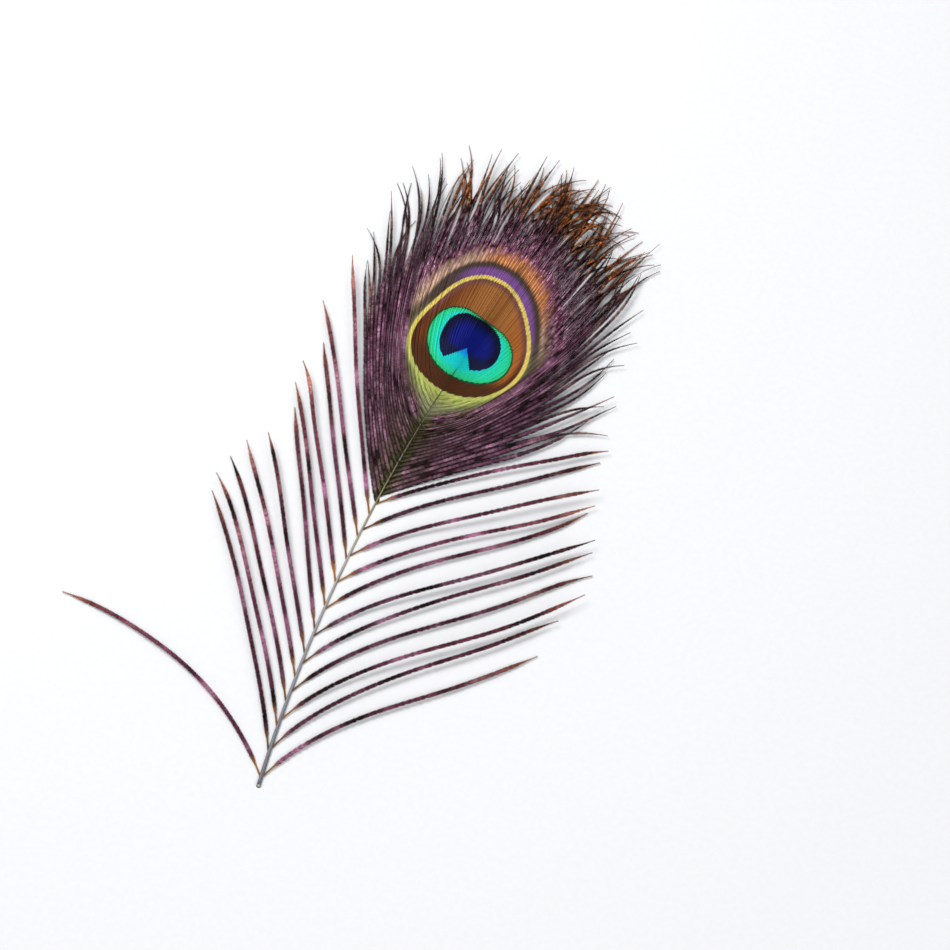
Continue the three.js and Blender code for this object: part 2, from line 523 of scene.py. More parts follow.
@dataclass
class BarbMesh:
    """A mesh that barbs are added to: their strips, and guide lines for their barbules."""

    steps: int
    sides: int = 4
    shape: bmesh.types.BMesh = field(default_factory=bmesh.new)

    def __post_init__(self) -> None:
        """Make the attributes and the strip that every barb bends."""
        for name in Mark:
            self.shape.verts.layers.float.new(name)
        self.unit = unit_tube(self.sides, self.steps)

    def add_strip(self, line: list[Vector], strip: BarbStrip, tone: float) -> None:
        """Bend a copy of the unit tube along a line.

        Args:
            line: The barb's points, one more than the steps.
            strip: Its sizes.
            tone: Its own shade.
        """
        layers = self.shape.verts.layers.float
        step = (line[1] - line[0]).length
        first = len(self.shape.verts)
        self.shape.from_mesh(self.unit)
        self.shape.verts.ensure_lookup_table()
        roll = math.radians(strip.roll)
        rings = []
        for i, point in enumerate(line):
            before, after = line[max(i - 1, 0)], line[min(i + 1, self.steps)]
            forward = (after - before).normalized()
            across = Vector((0.0, 0.0, 1.0)).cross(forward).normalized()
            rise = forward.cross(across)
            share = i / self.steps
            across, rise = (
                across * math.cos(roll) + rise * math.sin(roll),
                rise * math.cos(roll) - across * math.sin(roll),
            )
            wide = across * strip.half_widths[i]
            high = rise * strip.half_heights[i]
            rings.append((share, point, wide, high))
        for index in range(first, len(self.shape.verts)):
            vert = self.shape.verts[index]
            share, point, wide, high = rings[round(vert.co.z * self.steps)]
            vert[layers[Mark.ALONG]] = share
            vert[layers[Mark.RUN]] = share * self.steps * step
            vert[layers[Mark.TONE]] = tone
            vert[layers[Mark.EDGE]] = abs(vert.co.x)
            vert.co = (point + wide * vert.co.x + high * vert.co.y) * MM

    def add_guide(self, line: list[Vector], reaches: list[float], tone: float) -> None:
        """Add the line that a barb's barbules stand on.

        Args:
            line: The barb's points.
            reaches: Length of its barbules at each point.
            tone: The barb's own shade.
        """
        layers = self.shape.verts.layers.float
        step = (line[2] - line[1]).length
        last = None
        for i, point in enumerate(line):
            vert = self.shape.verts.new(point * MM)
            vert[layers[Mark.ALONG]] = i / (len(line) - 1)
            vert[layers[Mark.RUN]] = i * step
            vert[layers[Mark.TONE]] = tone
            vert[layers[Mark.REACH]] = reaches[i] * MM
            vert[layers[Mark.GUIDE]] = 1.0
            if last is not None:
                self.shape.edges.new((last, vert))
            last = vert

    def finish(
        self, name: str, barbules: Tree | None, materials: list[Material]
    ) -> bpy.types.Object:
        """Grow the barbules on the guide lines and make the piece.

        Args:
            name: The piece's name.
            barbules: The node tree that grows them, if it has any.
            materials: The piece's finishes.

        Returns:
            The piece, with a plain mesh and no modifiers.
        """
        base = bpy.data.meshes.new(name)
        self.shape.to_mesh(base)
        self.shape.free()
        piece = bpy.data.objects.new(name, base)
        bpy.context.scene.collection.objects.link(piece)
        if barbules is not None:
            piece.modifiers.new("barbules", "NODES").node_group = barbules
        graph = bpy.context.evaluated_depsgraph_get()
        grown = bpy.data.meshes.new_from_object(
            piece.evaluated_get(graph), preserve_all_data_layers=True, depsgraph=graph
        )
        piece.modifiers.clear()
        piece.data = grown
        grown.name = name
        for vert in grown.vertices:
            vert.co.z = max(vert.co.z, LOWEST * MM)
        bpy.data.meshes.remove(base)
        bpy.data.meshes.remove(self.unit)
        finish_numbers = [face.material_index for face in grown.polygons]
        grown.materials.clear()
        for material in materials:
            grown.materials.append(material)
        grown.polygons.foreach_set("material_index", finish_numbers)
        return piece


# ---------------------------------------------------------------- barbules


@dataclass(frozen=True)
class BarbuleStyle:
    """How the barbules of a row stand on their barbs.

    Attributes:
        name: The node tree's name.
        spacing: Distance between pairs.
        twist: Turn of a pair about its barb, to each side.
        twist_length: Length of barb in which that turn comes round again.
        scatter: Further turn of each pair, picked at random.
        phases: How far the turns of the darkest and the lightest barb are apart, in radians.
        thickness: Height of a blade, as a share of its length.
        shortest: Length below which a barbule is left out.
    """

    name: str
    spacing: float
    twist: float
    twist_length: float
    scatter: float
    phases: float = 40.0
    thickness: float = 1.0
    shortest: float = 0.08


@dataclass(frozen=True)
class BarbulePair:
    """Two blades, one to each side, of length 1; a blade is a thin four-faced spike.

    Attributes:
        sweep: Angle between a blade and its barb.
        blade_width: Width of a blade at its root.
        blade_height: Height there.
        root_mark: What a blade's root is marked with, where its tip is marked 1.
        weld: Distance below which points are merged.
    """

    sweep: float = 44.0
    blade_width: float = 0.34
    blade_height: float = 0.20
    root_mark: float = 0.15
    weld: float = 1e-5

    def build(self) -> bpy.types.Object:
        """Make the pair, pointing forward along +Y, with its tips marked as edges.

        Returns:
            The pair, which main removes when every row has grown its barbules.
        """
        shape = bmesh.new()
        edge = shape.verts.layers.float.new(Mark.EDGE)
        for side in Side:
            made = bmesh.ops.create_cone(
                shape, cap_ends=True, segments=3, radius1=0.5, radius2=0.0, depth=1.0
            )["verts"]
            for vert in made:
                vert[edge] = self.root_mark if vert.co.z < 0.0 else 1.0
            bmesh.ops.translate(shape, verts=made, vec=(0.0, 0.0, 0.5))
            bmesh.ops.scale(shape, verts=made, vec=(self.blade_width, self.blade_height, 1.0))
            bmesh.ops.rotate(shape, verts=made, matrix=Matrix.Rotation(-math.pi / 2, 3, "X"))
            turn = side.value * math.radians(self.sweep)
            bmesh.ops.rotate(shape, verts=made, matrix=Matrix.Rotation(turn, 3, "Z"))
        bmesh.ops.remove_doubles(shape, verts=shape.verts, dist=self.weld)
        bmesh.ops.recalc_face_normals(shape, faces=shape.faces)
        mesh = bpy.data.meshes.new("barbule_pair")
        shape.to_mesh(mesh)
        shape.free()
        pair = bpy.data.objects.new("barbule_pair", mesh)
        bpy.context.scene.collection.objects.link(pair)
        return pair


def barbule_tree(style: BarbuleStyle, pair: bpy.types.Object) -> Tree:
    """Node tree that stands barbule pairs on the guide lines and keeps the strips.

    Args:
        style: How the pairs stand.
        pair: The object that is repeated.

    Returns:
        The tree, with its instances realized.
    """
    tree = bpy.data.node_groups.new(style.name, "GeometryNodeTree")
    tree.interface.new_socket("Geometry", in_out="INPUT", socket_type="NodeSocketGeometry")
    tree.interface.new_socket("Geometry", in_out="OUTPUT", socket_type="NodeSocketGeometry")
    source = add_node(tree, "NodeGroupInput")
    guide = add_node(tree, "GeometryNodeInputNamedAttribute", {"Name": Mark.GUIDE})
    parts = add_node(
        tree,
        "GeometryNodeSeparateGeometry",
        {"Geometry": source, "Selection": guide},
        domain="POINT",
    )
    lines = add_node(tree, "GeometryNodeMeshToCurve", {"Mesh": parts.outputs["Selection"]})
    posts = add_node(
        tree,
        "GeometryNodeResampleCurve",
        {"Curve": lines, "Length": style.spacing * MM},
        mode="LENGTH",
    )
    # Each pair looks along its barb with its flat side up, then turns about the barb.
    forward = add_node(tree, "GeometryNodeInputTangent")
    facing = add_node(
        tree,
        "FunctionNodeAxesToRotation",
        {"Primary Axis": forward, "Secondary Axis": (0.0, 0.0, 1.0)},
        primary_axis="Y",
        secondary_axis="Z",
    )
    place = add_node(tree, "GeometryNodeSplineParameter")
    tone = add_node(tree, "GeometryNodeInputNamedAttribute", {"Name": Mark.TONE})
    turns = add_node(
        tree,
        "ShaderNodeMath",
        {0: place.outputs["Length"], 1: math.tau / (style.twist_length * MM)},
        operation="MULTIPLY",
    )
    phase = add_node(
        tree, "ShaderNodeMath", {0: tone, 1: style.phases, 2: turns}, operation="MULTIPLY_ADD"
    )
    swing = add_node(tree, "ShaderNodeMath", {0: phase}, operation="SINE")
    scatter = add_node(
        tree,
        "FunctionNodeRandomValue",
        {2: -math.radians(style.scatter), 3: math.radians(style.scatter)},
        data_type="FLOAT",
    )
    twist = add_node(
        tree,
        "ShaderNodeMath",
        {0: swing, 1: math.radians(style.twist), 2: scatter},
        operation="MULTIPLY_ADD",
    )
    turn = add_node(
        tree, "FunctionNodeAxisAngleToRotation", {"Axis": (0.0, 1.0, 0.0), "Angle": twist}
    )
    pose = add_node(
        tree, "FunctionNodeRotateRotation", {0: facing, 1: turn}, rotation_space="LOCAL"
    )
    reach = add_node(tree, "GeometryNodeInputNamedAttribute", {"Name": Mark.REACH})
    size = add_node(
        tree,
        "ShaderNodeVectorMath",
        {0: (1.0, 1.0, style.thickness), "Scale": reach},
        operation="SCALE",
    )
    long_enough = add_node(
        tree,
        "FunctionNodeCompare",
        {0: reach, 1: style.shortest * MM},
        data_type="FLOAT",
        operation="GREATER_THAN",
    )
    blade = add_node(tree, "GeometryNodeObjectInfo", {"Object": pair}, transform_space="ORIGINAL")
    stood = add_node(
        tree,
        "GeometryNodeInstanceOnPoints",
        {
            "Points": posts,
            "Selection": long_enough,
            "Instance": blade.outputs["Geometry"],
            "Rotation": pose,
            "Scale": size,
        },
    )
    real = add_node(tree, "GeometryNodeRealizeInstances", {"Geometry": stood})
    both = add_node(tree, "GeometryNodeJoinGeometry")
    tree.links.new(parts.outputs["Inverted"], both.inputs[0])
    tree.links.new(real.outputs[0], both.inputs[0])
    add_node(tree, "NodeGroupOutput", {0: both})
    return tree


# ---------------------------------------------------------------- finishes


Feed = Node | Socket | float | tuple | str
WHOLE: Span = (0.0, 1.0)
# Nearly all values of a wandering number lie in this span.
WANDER: Span = (0.3, 0.7)


@dataclass(frozen=True)
class EyePlace:
    """Where in the eye a point lies, as nodes and sockets of a finish.

    Attributes:
        across: Millimetres across the eye.
        upward: Millimetres along it, towards the crown.
        angle: Radians round its centre, from the crown to the right.
        length: Millimetres from its centre.
    """

    across: Feed
    upward: Feed
    angle: Feed
    length: Feed


def outline_distance(tree: Tree, at: EyePlace, outline: Outline) -> Node:
    """Distance outside an outline, in millimetres; inside it is negative.

    Args:
        tree: The material's node tree.
        at: The place in the eye.
        outline: The outline.

    Returns:
        The node that gives the distance.
    """
    radius: Feed = outline.radius
    for order, (height, phase) in enumerate(outline.waves, start=1):
        turned = add_node(
            tree,
            "ShaderNodeMath",
            {0: at.angle, 1: float(order), 2: math.radians(phase)},
            operation="MULTIPLY_ADD",
        )
        wave = add_node(tree, "ShaderNodeMath", {0: turned}, operation="COSINE")
        radius = add_node(
            tree, "ShaderNodeMath", {0: wave, 1: height, 2: radius}, operation="MULTIPLY_ADD"
        )
    return add_node(tree, "ShaderNodeMath", {0: at.length, 1: radius}, operation="SUBTRACT")


def distance_from(tree: Tree, number: Feed, place: float) -> Node:
    """How far a number is from a place, to either side."""
    offset = add_node(tree, "ShaderNodeMath", {0: number, 1: place}, operation="SUBTRACT")
    return add_node(tree, "ShaderNodeMath", {0: offset}, operation="ABSOLUTE")


def shift_number(tree: Tree, number: Feed, guide: Feed, span: Span, shifts: Span) -> Node:
    """Add to a number a shift that goes from one value to another.

    Args:
        tree: The material's node tree.
        number: The number.
        guide: The number that decides about the shift.
        span: The guide's values between which the shift changes.
        shifts: The shift at each of them.

    Returns:
        The node that gives the new number.
    """
    (start, end), (low, high) = span, shifts
    shift = add_node(
        tree,
        "ShaderNodeMapRange",
        {"Value": guide, "From Min": start, "From Max": end, "To Min": low, "To Max": high},
        interpolation_type="SMOOTHSTEP",
    )
    return add_node(tree, "ShaderNodeMath", {0: number, 1: shift}, operation="ADD")


def lay_colours(tree: Tree, base: Feed, *layers: tuple[Feed, Feed, Span]) -> Feed:
    """Lay colours over a base, one after another.

    Args:
        tree: The material's node tree.
        base: The base's colour, as a node or an sRGB hex value.
        layers: Each colour, with the number that decides where it shows and the span in which
            it comes in: none of it before the first end, and all of it past the second, which
            may be the smaller.

    Returns:
        The node that gives the last blend.
    """
    for colour, number, (start, end) in layers:
        share = add_node(
            tree,
            "ShaderNodeMapRange",
            {"Value": number, "From Min": start, "From Max": end},
            interpolation_type="SMOOTHSTEP",
        )
        below, above = (linear(c) if isinstance(c, str) else c for c in (base, colour))
        base = add_node(tree, "ShaderNodeMix", {0: share, 6: below, 7: above}, data_type="RGBA")
    return base


def shade_colour(tree: Tree, colour: Feed, number: Feed, span: Span, shades: Span) -> Node:
    """Darken or lighten a colour while a number goes from one end of a span to the other.

    Args:
        tree: The material's node tree.
        colour: The colour.
        number: The number that decides.
        span: The two ends.
        shades: What the colour is multiplied by at each end.

    Returns:
        The node that gives the new colour.
    """
    (start, end), (low, high) = span, shades
    factor = add_node(
        tree,
        "ShaderNodeMapRange",
        {"Value": number, "From Min": start, "From Max": end, "To Min": low, "To Max": high},
        interpolation_type="SMOOTHSTEP",
    )
    return add_node(
        tree,
        "ShaderNodeMix",
        {0: 1.0, 6: colour, 7: factor},
        data_type="RGBA",
        blend_type="MULTIPLY",
    )


def give_surface(tree: Tree, inputs: dict) -> None:
    """Join a shader with these inputs to the material's output."""
    shader = add_node(tree, "ShaderNodeBsdfPrincipled", inputs)
    add_node(tree, "ShaderNodeOutputMaterial", {"Surface": shader})


def new_material(name: str) -> tuple[Material, Tree]:
    """Make an empty node material.

    Args:
        name: Its name.

    Returns:
        The material and its node tree.
    """
    material = bpy.data.materials.new(name)
    material.use_nodes = True
    material.node_tree.nodes.clear()
    return material, material.node_tree


@dataclass(frozen=True)
class BarbKeratin:
    """Melanin keratin of barbs: nearly black, with a satin purple gleam in long stretches.

    Its barbules lie at many angles and catch the light in turn, so the bright and dark stretches
    along each barb are painted highlight and painted shade, and the fine glints in them are
    painted highlights. A glint is about as long as three barbules, as single ones are too fine to
    be seen.

    Attributes:
        name: The material's name.
        stops: Colour from the root to the tip.
        root: Bare golden rib beside the shaft.
        root_length: How far that rib shows.
        root_fade: Where it starts to fade and where it ends, as shares of that length.
        copper: Worn tips of about half of the barbs, in their stretches of painted highlight.
        dark_copper: Those tips outside the painted highlight.
        shadow: Painted shade colour of the dark stretches.
        gleam: Painted highlight colour of the bright stretches.
        outer_gleam: That painted highlight's colour towards the tip.
        outer_part: Where along the barb that colour comes in.
        wear: How much longer than the others' the longest copper tips are, as a share.
        worn_part: Where the copper comes in, from the share of the length and the wear.
        lanes: How far apart the wandering numbers of the darkest and the lightest barb are
            read, so that each barb has its own.
        dash: Length of a stretch of painted highlight and shade.
        gleaming: Span of the wandering number in which a stretch turns to painted highlight.
        shadowed: Span in which it turns to painted shade.
        coppery: Span in which the worn tips take their painted highlight.
        glint: Length of a painted glint.
        glint_shades: How dark and how bright the painted glints go.
        tone_shades: The same for the barbs' own shades; the darkest, on the barbs and coats that
            lie under the others, are painted shade.
        edge_part: Share of a barb's half width over which the painted shade at its edge comes in.
        ridge: Painted highlight along its middle.
        groove: Painted shade at its edges.
        split: Deeper painted shade there, on the one barb in six that stands a little apart.
        split_tones: The tones that such a barb starts from.
        calming: How much lighter the painted groove shade is where the vane is calm.
        metallic: Share of the gleam that takes the barb's own colour.
        roughness: Breadth of the gleam.
        sheen: Strength of the colourless gleam.
    """

    name: str
    stops: tuple[tuple[float, str], ...] = (
        (0.0, "#5c3240"),
        (0.4, "#6a3448"),
        (0.86, "#6c363e"),
        (0.95, "#9a5a40"),
        (1.0, "#b87a56"),
    )
    root: str = "#b07840"
    root_length: float = 6.5
    root_fade: Span = (1.3, 0.5)
    copper: str = "#a05c30"
    dark_copper: str = "#4a2a1a"
    shadow: str = "#2a1416"
    gleam: str = "#c482a4"
    outer_gleam: str = "#b87c74"
    outer_part: Span = (0.5, 0.9)
    wear: float = 0.3
    worn_part: Span = (1.08, 1.3)
    lanes: float = 50.0
    dash: float = 13.0
    gleaming: Span = (0.47, 0.74)
    shadowed: Span = (0.46, 0.32)
    coppery: Span = (0.4, 0.62)
    glint: float = 0.45
    glint_shades: Span = (0.6, 1.35)
    tone_shades: Span = (0.3, 1.3)
    edge_part: Span = (0.3, 1.0)
    ridge: float = 1.08
    groove: float = 0.55
    split: float = 0.28
    split_tones: Span = (0.82, 0.86)
    calming: float = 0.3
    metallic: float = 0.35
    roughness: float = 0.45
    sheen: float = 0.08

    def strand(self, tree: Tree, place: Feed) -> Node:
        """Colour of a free barb: by its length, its own shade and its painted highlight and shade
        stretches.

        Args:
            tree: The material's node tree.
            place: Place between the first stop and the last.

        Returns:
            The node that gives the colour.
        """
        tone = add_node(tree, "ShaderNodeAttribute", attribute_name=Mark.TONE).outputs["Fac"]
        run = add_node(tree, "ShaderNodeAttribute", attribute_name=Mark.RUN).outputs["Fac"]
        ramp = add_node(tree, "ShaderNodeValToRGB", {0: place})
        set_ramp(ramp, self.stops)
        worn = add_node(
            tree, "ShaderNodeMath", {0: tone, 1: self.wear, 2: place}, operation="MULTIPLY_ADD"
        )
        stretches = self.wander(tree, self.dash)
        glints = self.wander(tree, self.glint)
        start, end = self.root_fade
        root_span = (self.root_length * start, self.root_length * end)
        gleam = lay_colours(tree, self.gleam, (self.outer_gleam, place, self.outer_part))
        copper = lay_colours(tree, self.dark_copper, (self.copper, stretches, self.coppery))
        colour = lay_colours(
            tree,
            ramp,
            (gleam, stretches, self.gleaming),
            (self.shadow, stretches, self.shadowed),
            (copper, worn, self.worn_part),
        )
        colour = shade_colour(tree, colour, glints, WANDER, self.glint_shades)
        colour = lay_colours(tree, colour, (self.root, run, root_span))
        return shade_colour(tree, colour, tone, WHOLE, self.tone_shades)

    def wander(self, tree: Tree, length: float) -> Node:
        """Number that wanders along each barb on its own.

        Args:
            tree: The material's node tree.
            length: Millimetres in which it wanders up and down, more or less.

        Returns:
            The node that gives it, mostly between 0.3 and 0.7.
        """
        tone = add_node(tree, "ShaderNodeAttribute", attribute_name=Mark.TONE).outputs["Fac"]
        run = add_node(tree, "ShaderNodeAttribute", attribute_name=Mark.RUN).outputs["Fac"]
        along = add_node(tree, "ShaderNodeMath", {0: run, 1: 1.0 / length}, operation="MULTIPLY")
        apart = add_node(tree, "ShaderNodeMath", {0: tone, 1: self.lanes}, operation="MULTIPLY")
        place = add_node(tree, "ShaderNodeCombineXYZ", {"X": along, "Y": apart})
        return add_node(
            tree,
            "ShaderNodeTexNoise",
            {"Vector": place, "Scale": 1.0, "Detail": 1.0, "Roughness": 0.6},
        )

    def finish_tree(self, tree: Tree, colour: Feed, calm: Feed = 0.0) -> None:
        """Paint shade on the barbs' edges and barbule tips and a highlight down their middles, and
        join the colour to the shader and the output.

        Args:
            tree: The material's node tree.
            colour: The colour.
            calm: How much the painted groove shade is lightened, from 0 to 1.
        """
        edge = add_node(tree, "ShaderNodeAttribute", attribute_name=Mark.EDGE).outputs["Fac"]
        tone = add_node(tree, "ShaderNodeAttribute", attribute_name=Mark.TONE).outputs["Fac"]
        start, end = self.split_tones
        bottom = add_node(
            tree,
            "ShaderNodeMapRange",
            {
                "Value": tone,
                "From Min": start,
                "From Max": end,
                "To Min": self.groove,
                "To Max": self.split,
            },
            interpolation_type="SMOOTHSTEP",
        )
        bottom = add_node(
            tree, "ShaderNodeMath", {0: calm, 1: self.calming, 2: bottom}, operation="MULTIPLY_ADD"
        )
        start, end = self.edge_part
        depth = add_node(
            tree,
            "ShaderNodeMapRange",
            {"Value": edge, "From Min": start, "From Max": end},
            interpolation_type="SMOOTHSTEP",
        )
        groove = add_node(
            tree, "ShaderNodeMix", {0: depth, 2: self.ridge, 3: bottom}, data_type="FLOAT"
        )
        grooved = add_node(
            tree,
            "ShaderNodeMix",
            {0: 1.0, 6: colour, 7: groove},
            data_type="RGBA",
            blend_type="MULTIPLY",
        )
        give_surface(
            tree,
            {
                "Base Color": grooved,
                "Metallic": self.metallic,
                "Roughness": self.roughness,
                "Specular IOR Level": self.sheen,
            },
        )

    def material(self) -> Material:
        """Make the material.

        Returns:
            The material.
        """
        material, tree = new_material(self.name)
        along = add_node(tree, "ShaderNodeAttribute", attribute_name=Mark.ALONG).outputs["Fac"]
        self.finish_tree(tree, self.strand(tree, along))
        return material


@dataclass(frozen=True)
class EyeKeratin(BarbKeratin):
    """Structural-colour keratin of the eye: layered barbules that gleam in pure colours.

    The zones follow outlines in the eye's own axes, and each barb is shifted a little against
    its neighbours, so that the edges between zones are finely toothed. The spans say where one
    colour gives way to the next: in millimetres outside an outline, across the eye or up it, or
    in radians round its centre from the crown to the right.
    """

    stops: tuple[tuple[float, str], ...] = (
        (0.0, "#4e3e3e"),
        (0.2, "#6c4056"),
        (0.5, "#5e364a"),
        (0.75, "#3c2422"),
        (1.0, "#2a1a12"),
    )
    root: str = "#5c5638"
    root_length: float = 3.0
    # The gleam and shadow colours here are painted highlight and painted shade on the free barbs.
    gleam: str = "#ae7c94"
    outer_gleam: str = "#765440"
    wear: float = 0.55
    shadow: str = "#20100f"
    dash: float = 2.5
    metallic: float = 0.4

    # How far out the free barbs' last colour lies, how far the zones are shifted from the
    # darkest barb to the lightest, the shades of single barbs, the painted highlight and shade of
    # the streaks and glints, and the edge of the disc, inside which the painted groove shade is
    # lighter.
    reach: float = 38.0
    tooth: float = 0.36
    strand_shades: Span = (0.6, 1.12)
    streak_shades: Span = (0.75, 1.15)
    speckle_shades: Span = (0.9, 1.08)
    calm_edge: Span = (0.5, -0.5)

    # The olive wedge at the eye's foot, and the brown barbs beside the ring.
    lime: str = "#a4ac5a"
    olive: str = "#82865e"
    moss: str = "#4a4d3c"
    bark: str = "#5e5040"
    olive_to_bark: Span = (0.0, 2.0)
    bark_to_free: Span = (2.5, 10.0)
    lime_to_olive: Span = (0.8, 6.0)
    olive_to_moss: Span = (4.0, -2.0)
    wedge_side: Span = (3.5, -2.5)
    wedge_top: Span = (-17.0, -10.0)

    # The midrib, which shows as a thin dark line below the disc's middle.
    midrib: str = "#26301c"
    midrib_side: Span = (0.38, 0.1)
    midrib_strength: float = 0.7
    midrib_top: Span = (-9.0, -14.0)

    # The halo: violet, a dark band, then orange, which frays outwards.
    violet: str = "#6e4682"
    band: str = "#42342e"
    orange: str = "#c6804e"
    tan: str = "#d0aa90"
    band_inside: Span = (-2.4, -0.4)
    band_outside: Span = (0.1, 1.9)
    band_narrows: Span = (-1.2, -0.3)
    band_losses: Span = (1.1, 0.0)
    band_to_violet: Span = (-0.95, -0.4)
    tan_to_orange: Span = (-17.0, -7.0)
    orange_to_tan: Span = (0.55, 1.1)
    orange_tones: Span = (0.0, 0.8)
    orange_shades: Span = (0.5, 1.12)
    halo_edge: Span = (2.0, 7.2)
    halo_narrows: Span = (0.3, 1.0)
    halo_losses: Span = (0.0, 3.2)
    halo_left: Span = (-1.75, -1.15)
    halo_right: Span = (0.95, 1.5)
    fray: float = 4.0
    fray_depth: float = 7.0
    fray_by_barb: float = 3.0

    # The yellow ring, and the brown to bronze field inside it.
    yellow: str = "#cfb85a"
    umber: str = "#42230f"
    brown: str = "#5c2c0f"
    bronze: str = "#8a572a"
    copper_glow: str = "#965420"
    plum: str = "#68403c"
    lime_to_yellow: Span = (-20.0, -4.0)
    ring_shades: Span = (0.82, 1.06)
    ring_outside: Span = (0.95, 0.45)
    ring_inside: Span = (-0.45, -0.9)
    brown_to_bronze: Span = (-8.0, 14.0)
    bronze_to_glow: Span = (5.0, 17.0)
    bronze_to_brown: Span = (-4.0, -16.0)
    bronze_to_umber: Span = (-5.0, -13.0)
    umber_to_plum: Span = (-6.0, 8.0)
    border: Span = (-3.4, -1.2)

    # The teal disc, and the navy heart with its notch.
    cyan: str = "#10b2b2"
    teal: str = "#1ab28a"
    green: str = "#22a866"
    rim: str = "#0c3a26"
    notch: str = "#0a86dc"
    navy: str = "#081266"
    navy_edge: str = "#04061e"
    lobe: str = "#0f1332"
    cyan_to_teal: Span = (-0.3, 1.6)
    teal_to_green: Span = (-2.2, -0.5)
    green_to_rim: Span = (-0.5, -0.1)
    disc_edge: Span = (0.5, 0.1)
    notch_glow: Span = (4.2, 1.2)
    notch_edge: Span = (-0.25, 0.25)
    heart_edge: Span = (0.25, -0.25)
    heart_cover: Span = (0.3, 0.7)
    navy_to_edge: Span = (-5.5, -0.8)
    navy_to_lobe: Span = (-3.0, -6.5)

    def place(self, tree: Tree) -> EyePlace:
        """Find the place in the eye's axes, shifted a little on each barb by its own shade.

        Args:
            tree: The material's node tree.

        Returns:
            The place.
        """
        coordinates = add_node(tree, "ShaderNodeTexCoord")
        mapping = add_node(
            tree,
            "ShaderNodeMapping",
            {
                "Vector": coordinates.outputs["Object"],
                "Location": (EYE.centre[0] * MM, EYE.centre[1] * MM, 0.0),
                "Rotation": (0.0, 0.0, math.radians(EYE.axis_turn)),
                "Scale": (MM, MM, MM),
            },
            vector_type="TEXTURE",
        )
        tone = add_node(tree, "ShaderNodeAttribute", attribute_name=Mark.TONE).outputs["Fac"]
        shift = add_node(
            tree,
            "ShaderNodeMapRange",
            {"Value": tone, "To Min": -self.tooth / 2, "To Max": self.tooth / 2},
            interpolation_type="SMOOTHSTEP",
        )
        shift_vector = add_node(tree, "ShaderNodeCombineXYZ", {"Y": shift})
        flat = add_node(
            tree,
            "ShaderNodeVectorMath",
            {0: mapping, 1: (1.0, 1.0, 0.0), 2: shift_vector},
            operation="MULTIPLY_ADD",
        )
        parts = add_node(tree, "ShaderNodeSeparateXYZ", {0: flat})
        across, upward = parts.outputs["X"], parts.outputs["Y"]
        angle = add_node(tree, "ShaderNodeMath", {0: across, 1: upward}, operation="ARCTAN2")
        length = add_node(tree, "ShaderNodeVectorMath", {0: flat}, operation="LENGTH")
        return EyePlace(across, upward, angle, length)

    def material(self) -> Material:
        """Make the material: the free barbs' colour, with the eye's zones laid over it.

        Returns:
            The material.
        """
        material, tree = new_material(self.name)
        at = self.place(tree)
        ring = outline_distance(tree, at, EYE.ring)
        teal = outline_distance(tree, at, EYE.teal)
        colour = self.surroundings(tree, at, ring)
        colour = self.halo(tree, colour, at)
        colour = self.disc(tree, colour, at, ring)
        colour = self.heart(tree, colour, at, teal)
        colour = self.midrib_line(tree, colour, at)
        # Fine painted glints, light and shade, over the whole eye.
        glints = self.wander(tree, self.glint)
        colour = shade_colour(tree, colour, glints, WANDER, self.speckle_shades)
        start, end = self.calm_edge
        calm = add_node(
            tree,
            "ShaderNodeMapRange",
            {"Value": teal, "From Min": start, "From Max": end},
            interpolation_type="SMOOTHSTEP",
        )
        self.finish_tree(tree, colour, calm)
        return material

    def line_barbs(self, tree: Tree, colour: Feed, tones: Span, shades: Span) -> Node:
        """Draw the single barbs in a colour, and the streaks of painted highlight and shade along
        them.

        Args:
            tree: The material's node tree.
            colour: The colour.
            tones: The darkest and the lightest barbs' tones.
            shades: What the colour is multiplied by on each.

        Returns:
            The node that gives the new colour.
        """
        tone = add_node(tree, "ShaderNodeAttribute", attribute_name=Mark.TONE).outputs["Fac"]
        colour = shade_colour(tree, colour, tone, tones, shades)
        streaks = self.wander(tree, self.dash)
        return shade_colour(tree, colour, streaks, WANDER, self.streak_shades)

    def midrib_line(self, tree: Tree, colour: Feed, at: EyePlace) -> Feed:
        """Draw the thin dark line where the shaft's end shows between the barbs.

        Args:
            tree: The material's node tree.
            colour: The colour below.
            at: The place in the eye.

        Returns:
            The node that gives the colour.
        """
        aside = distance_from(tree, at.across, EYE.midrib_at)
        part: Feed = self.midrib_strength
        for number, (start, end) in ((aside, self.midrib_side), (at.upward, self.midrib_top)):
            share = add_node(
                tree,
                "ShaderNodeMapRange",
                {"Value": number, "From Min": start, "From Max": end},
                interpolation_type="SMOOTHSTEP",
            )
            part = add_node(tree, "ShaderNodeMath", {0: part, 1: share}, operation="MULTIPLY")
        return lay_colours(tree, colour, (self.midrib, part, WHOLE))

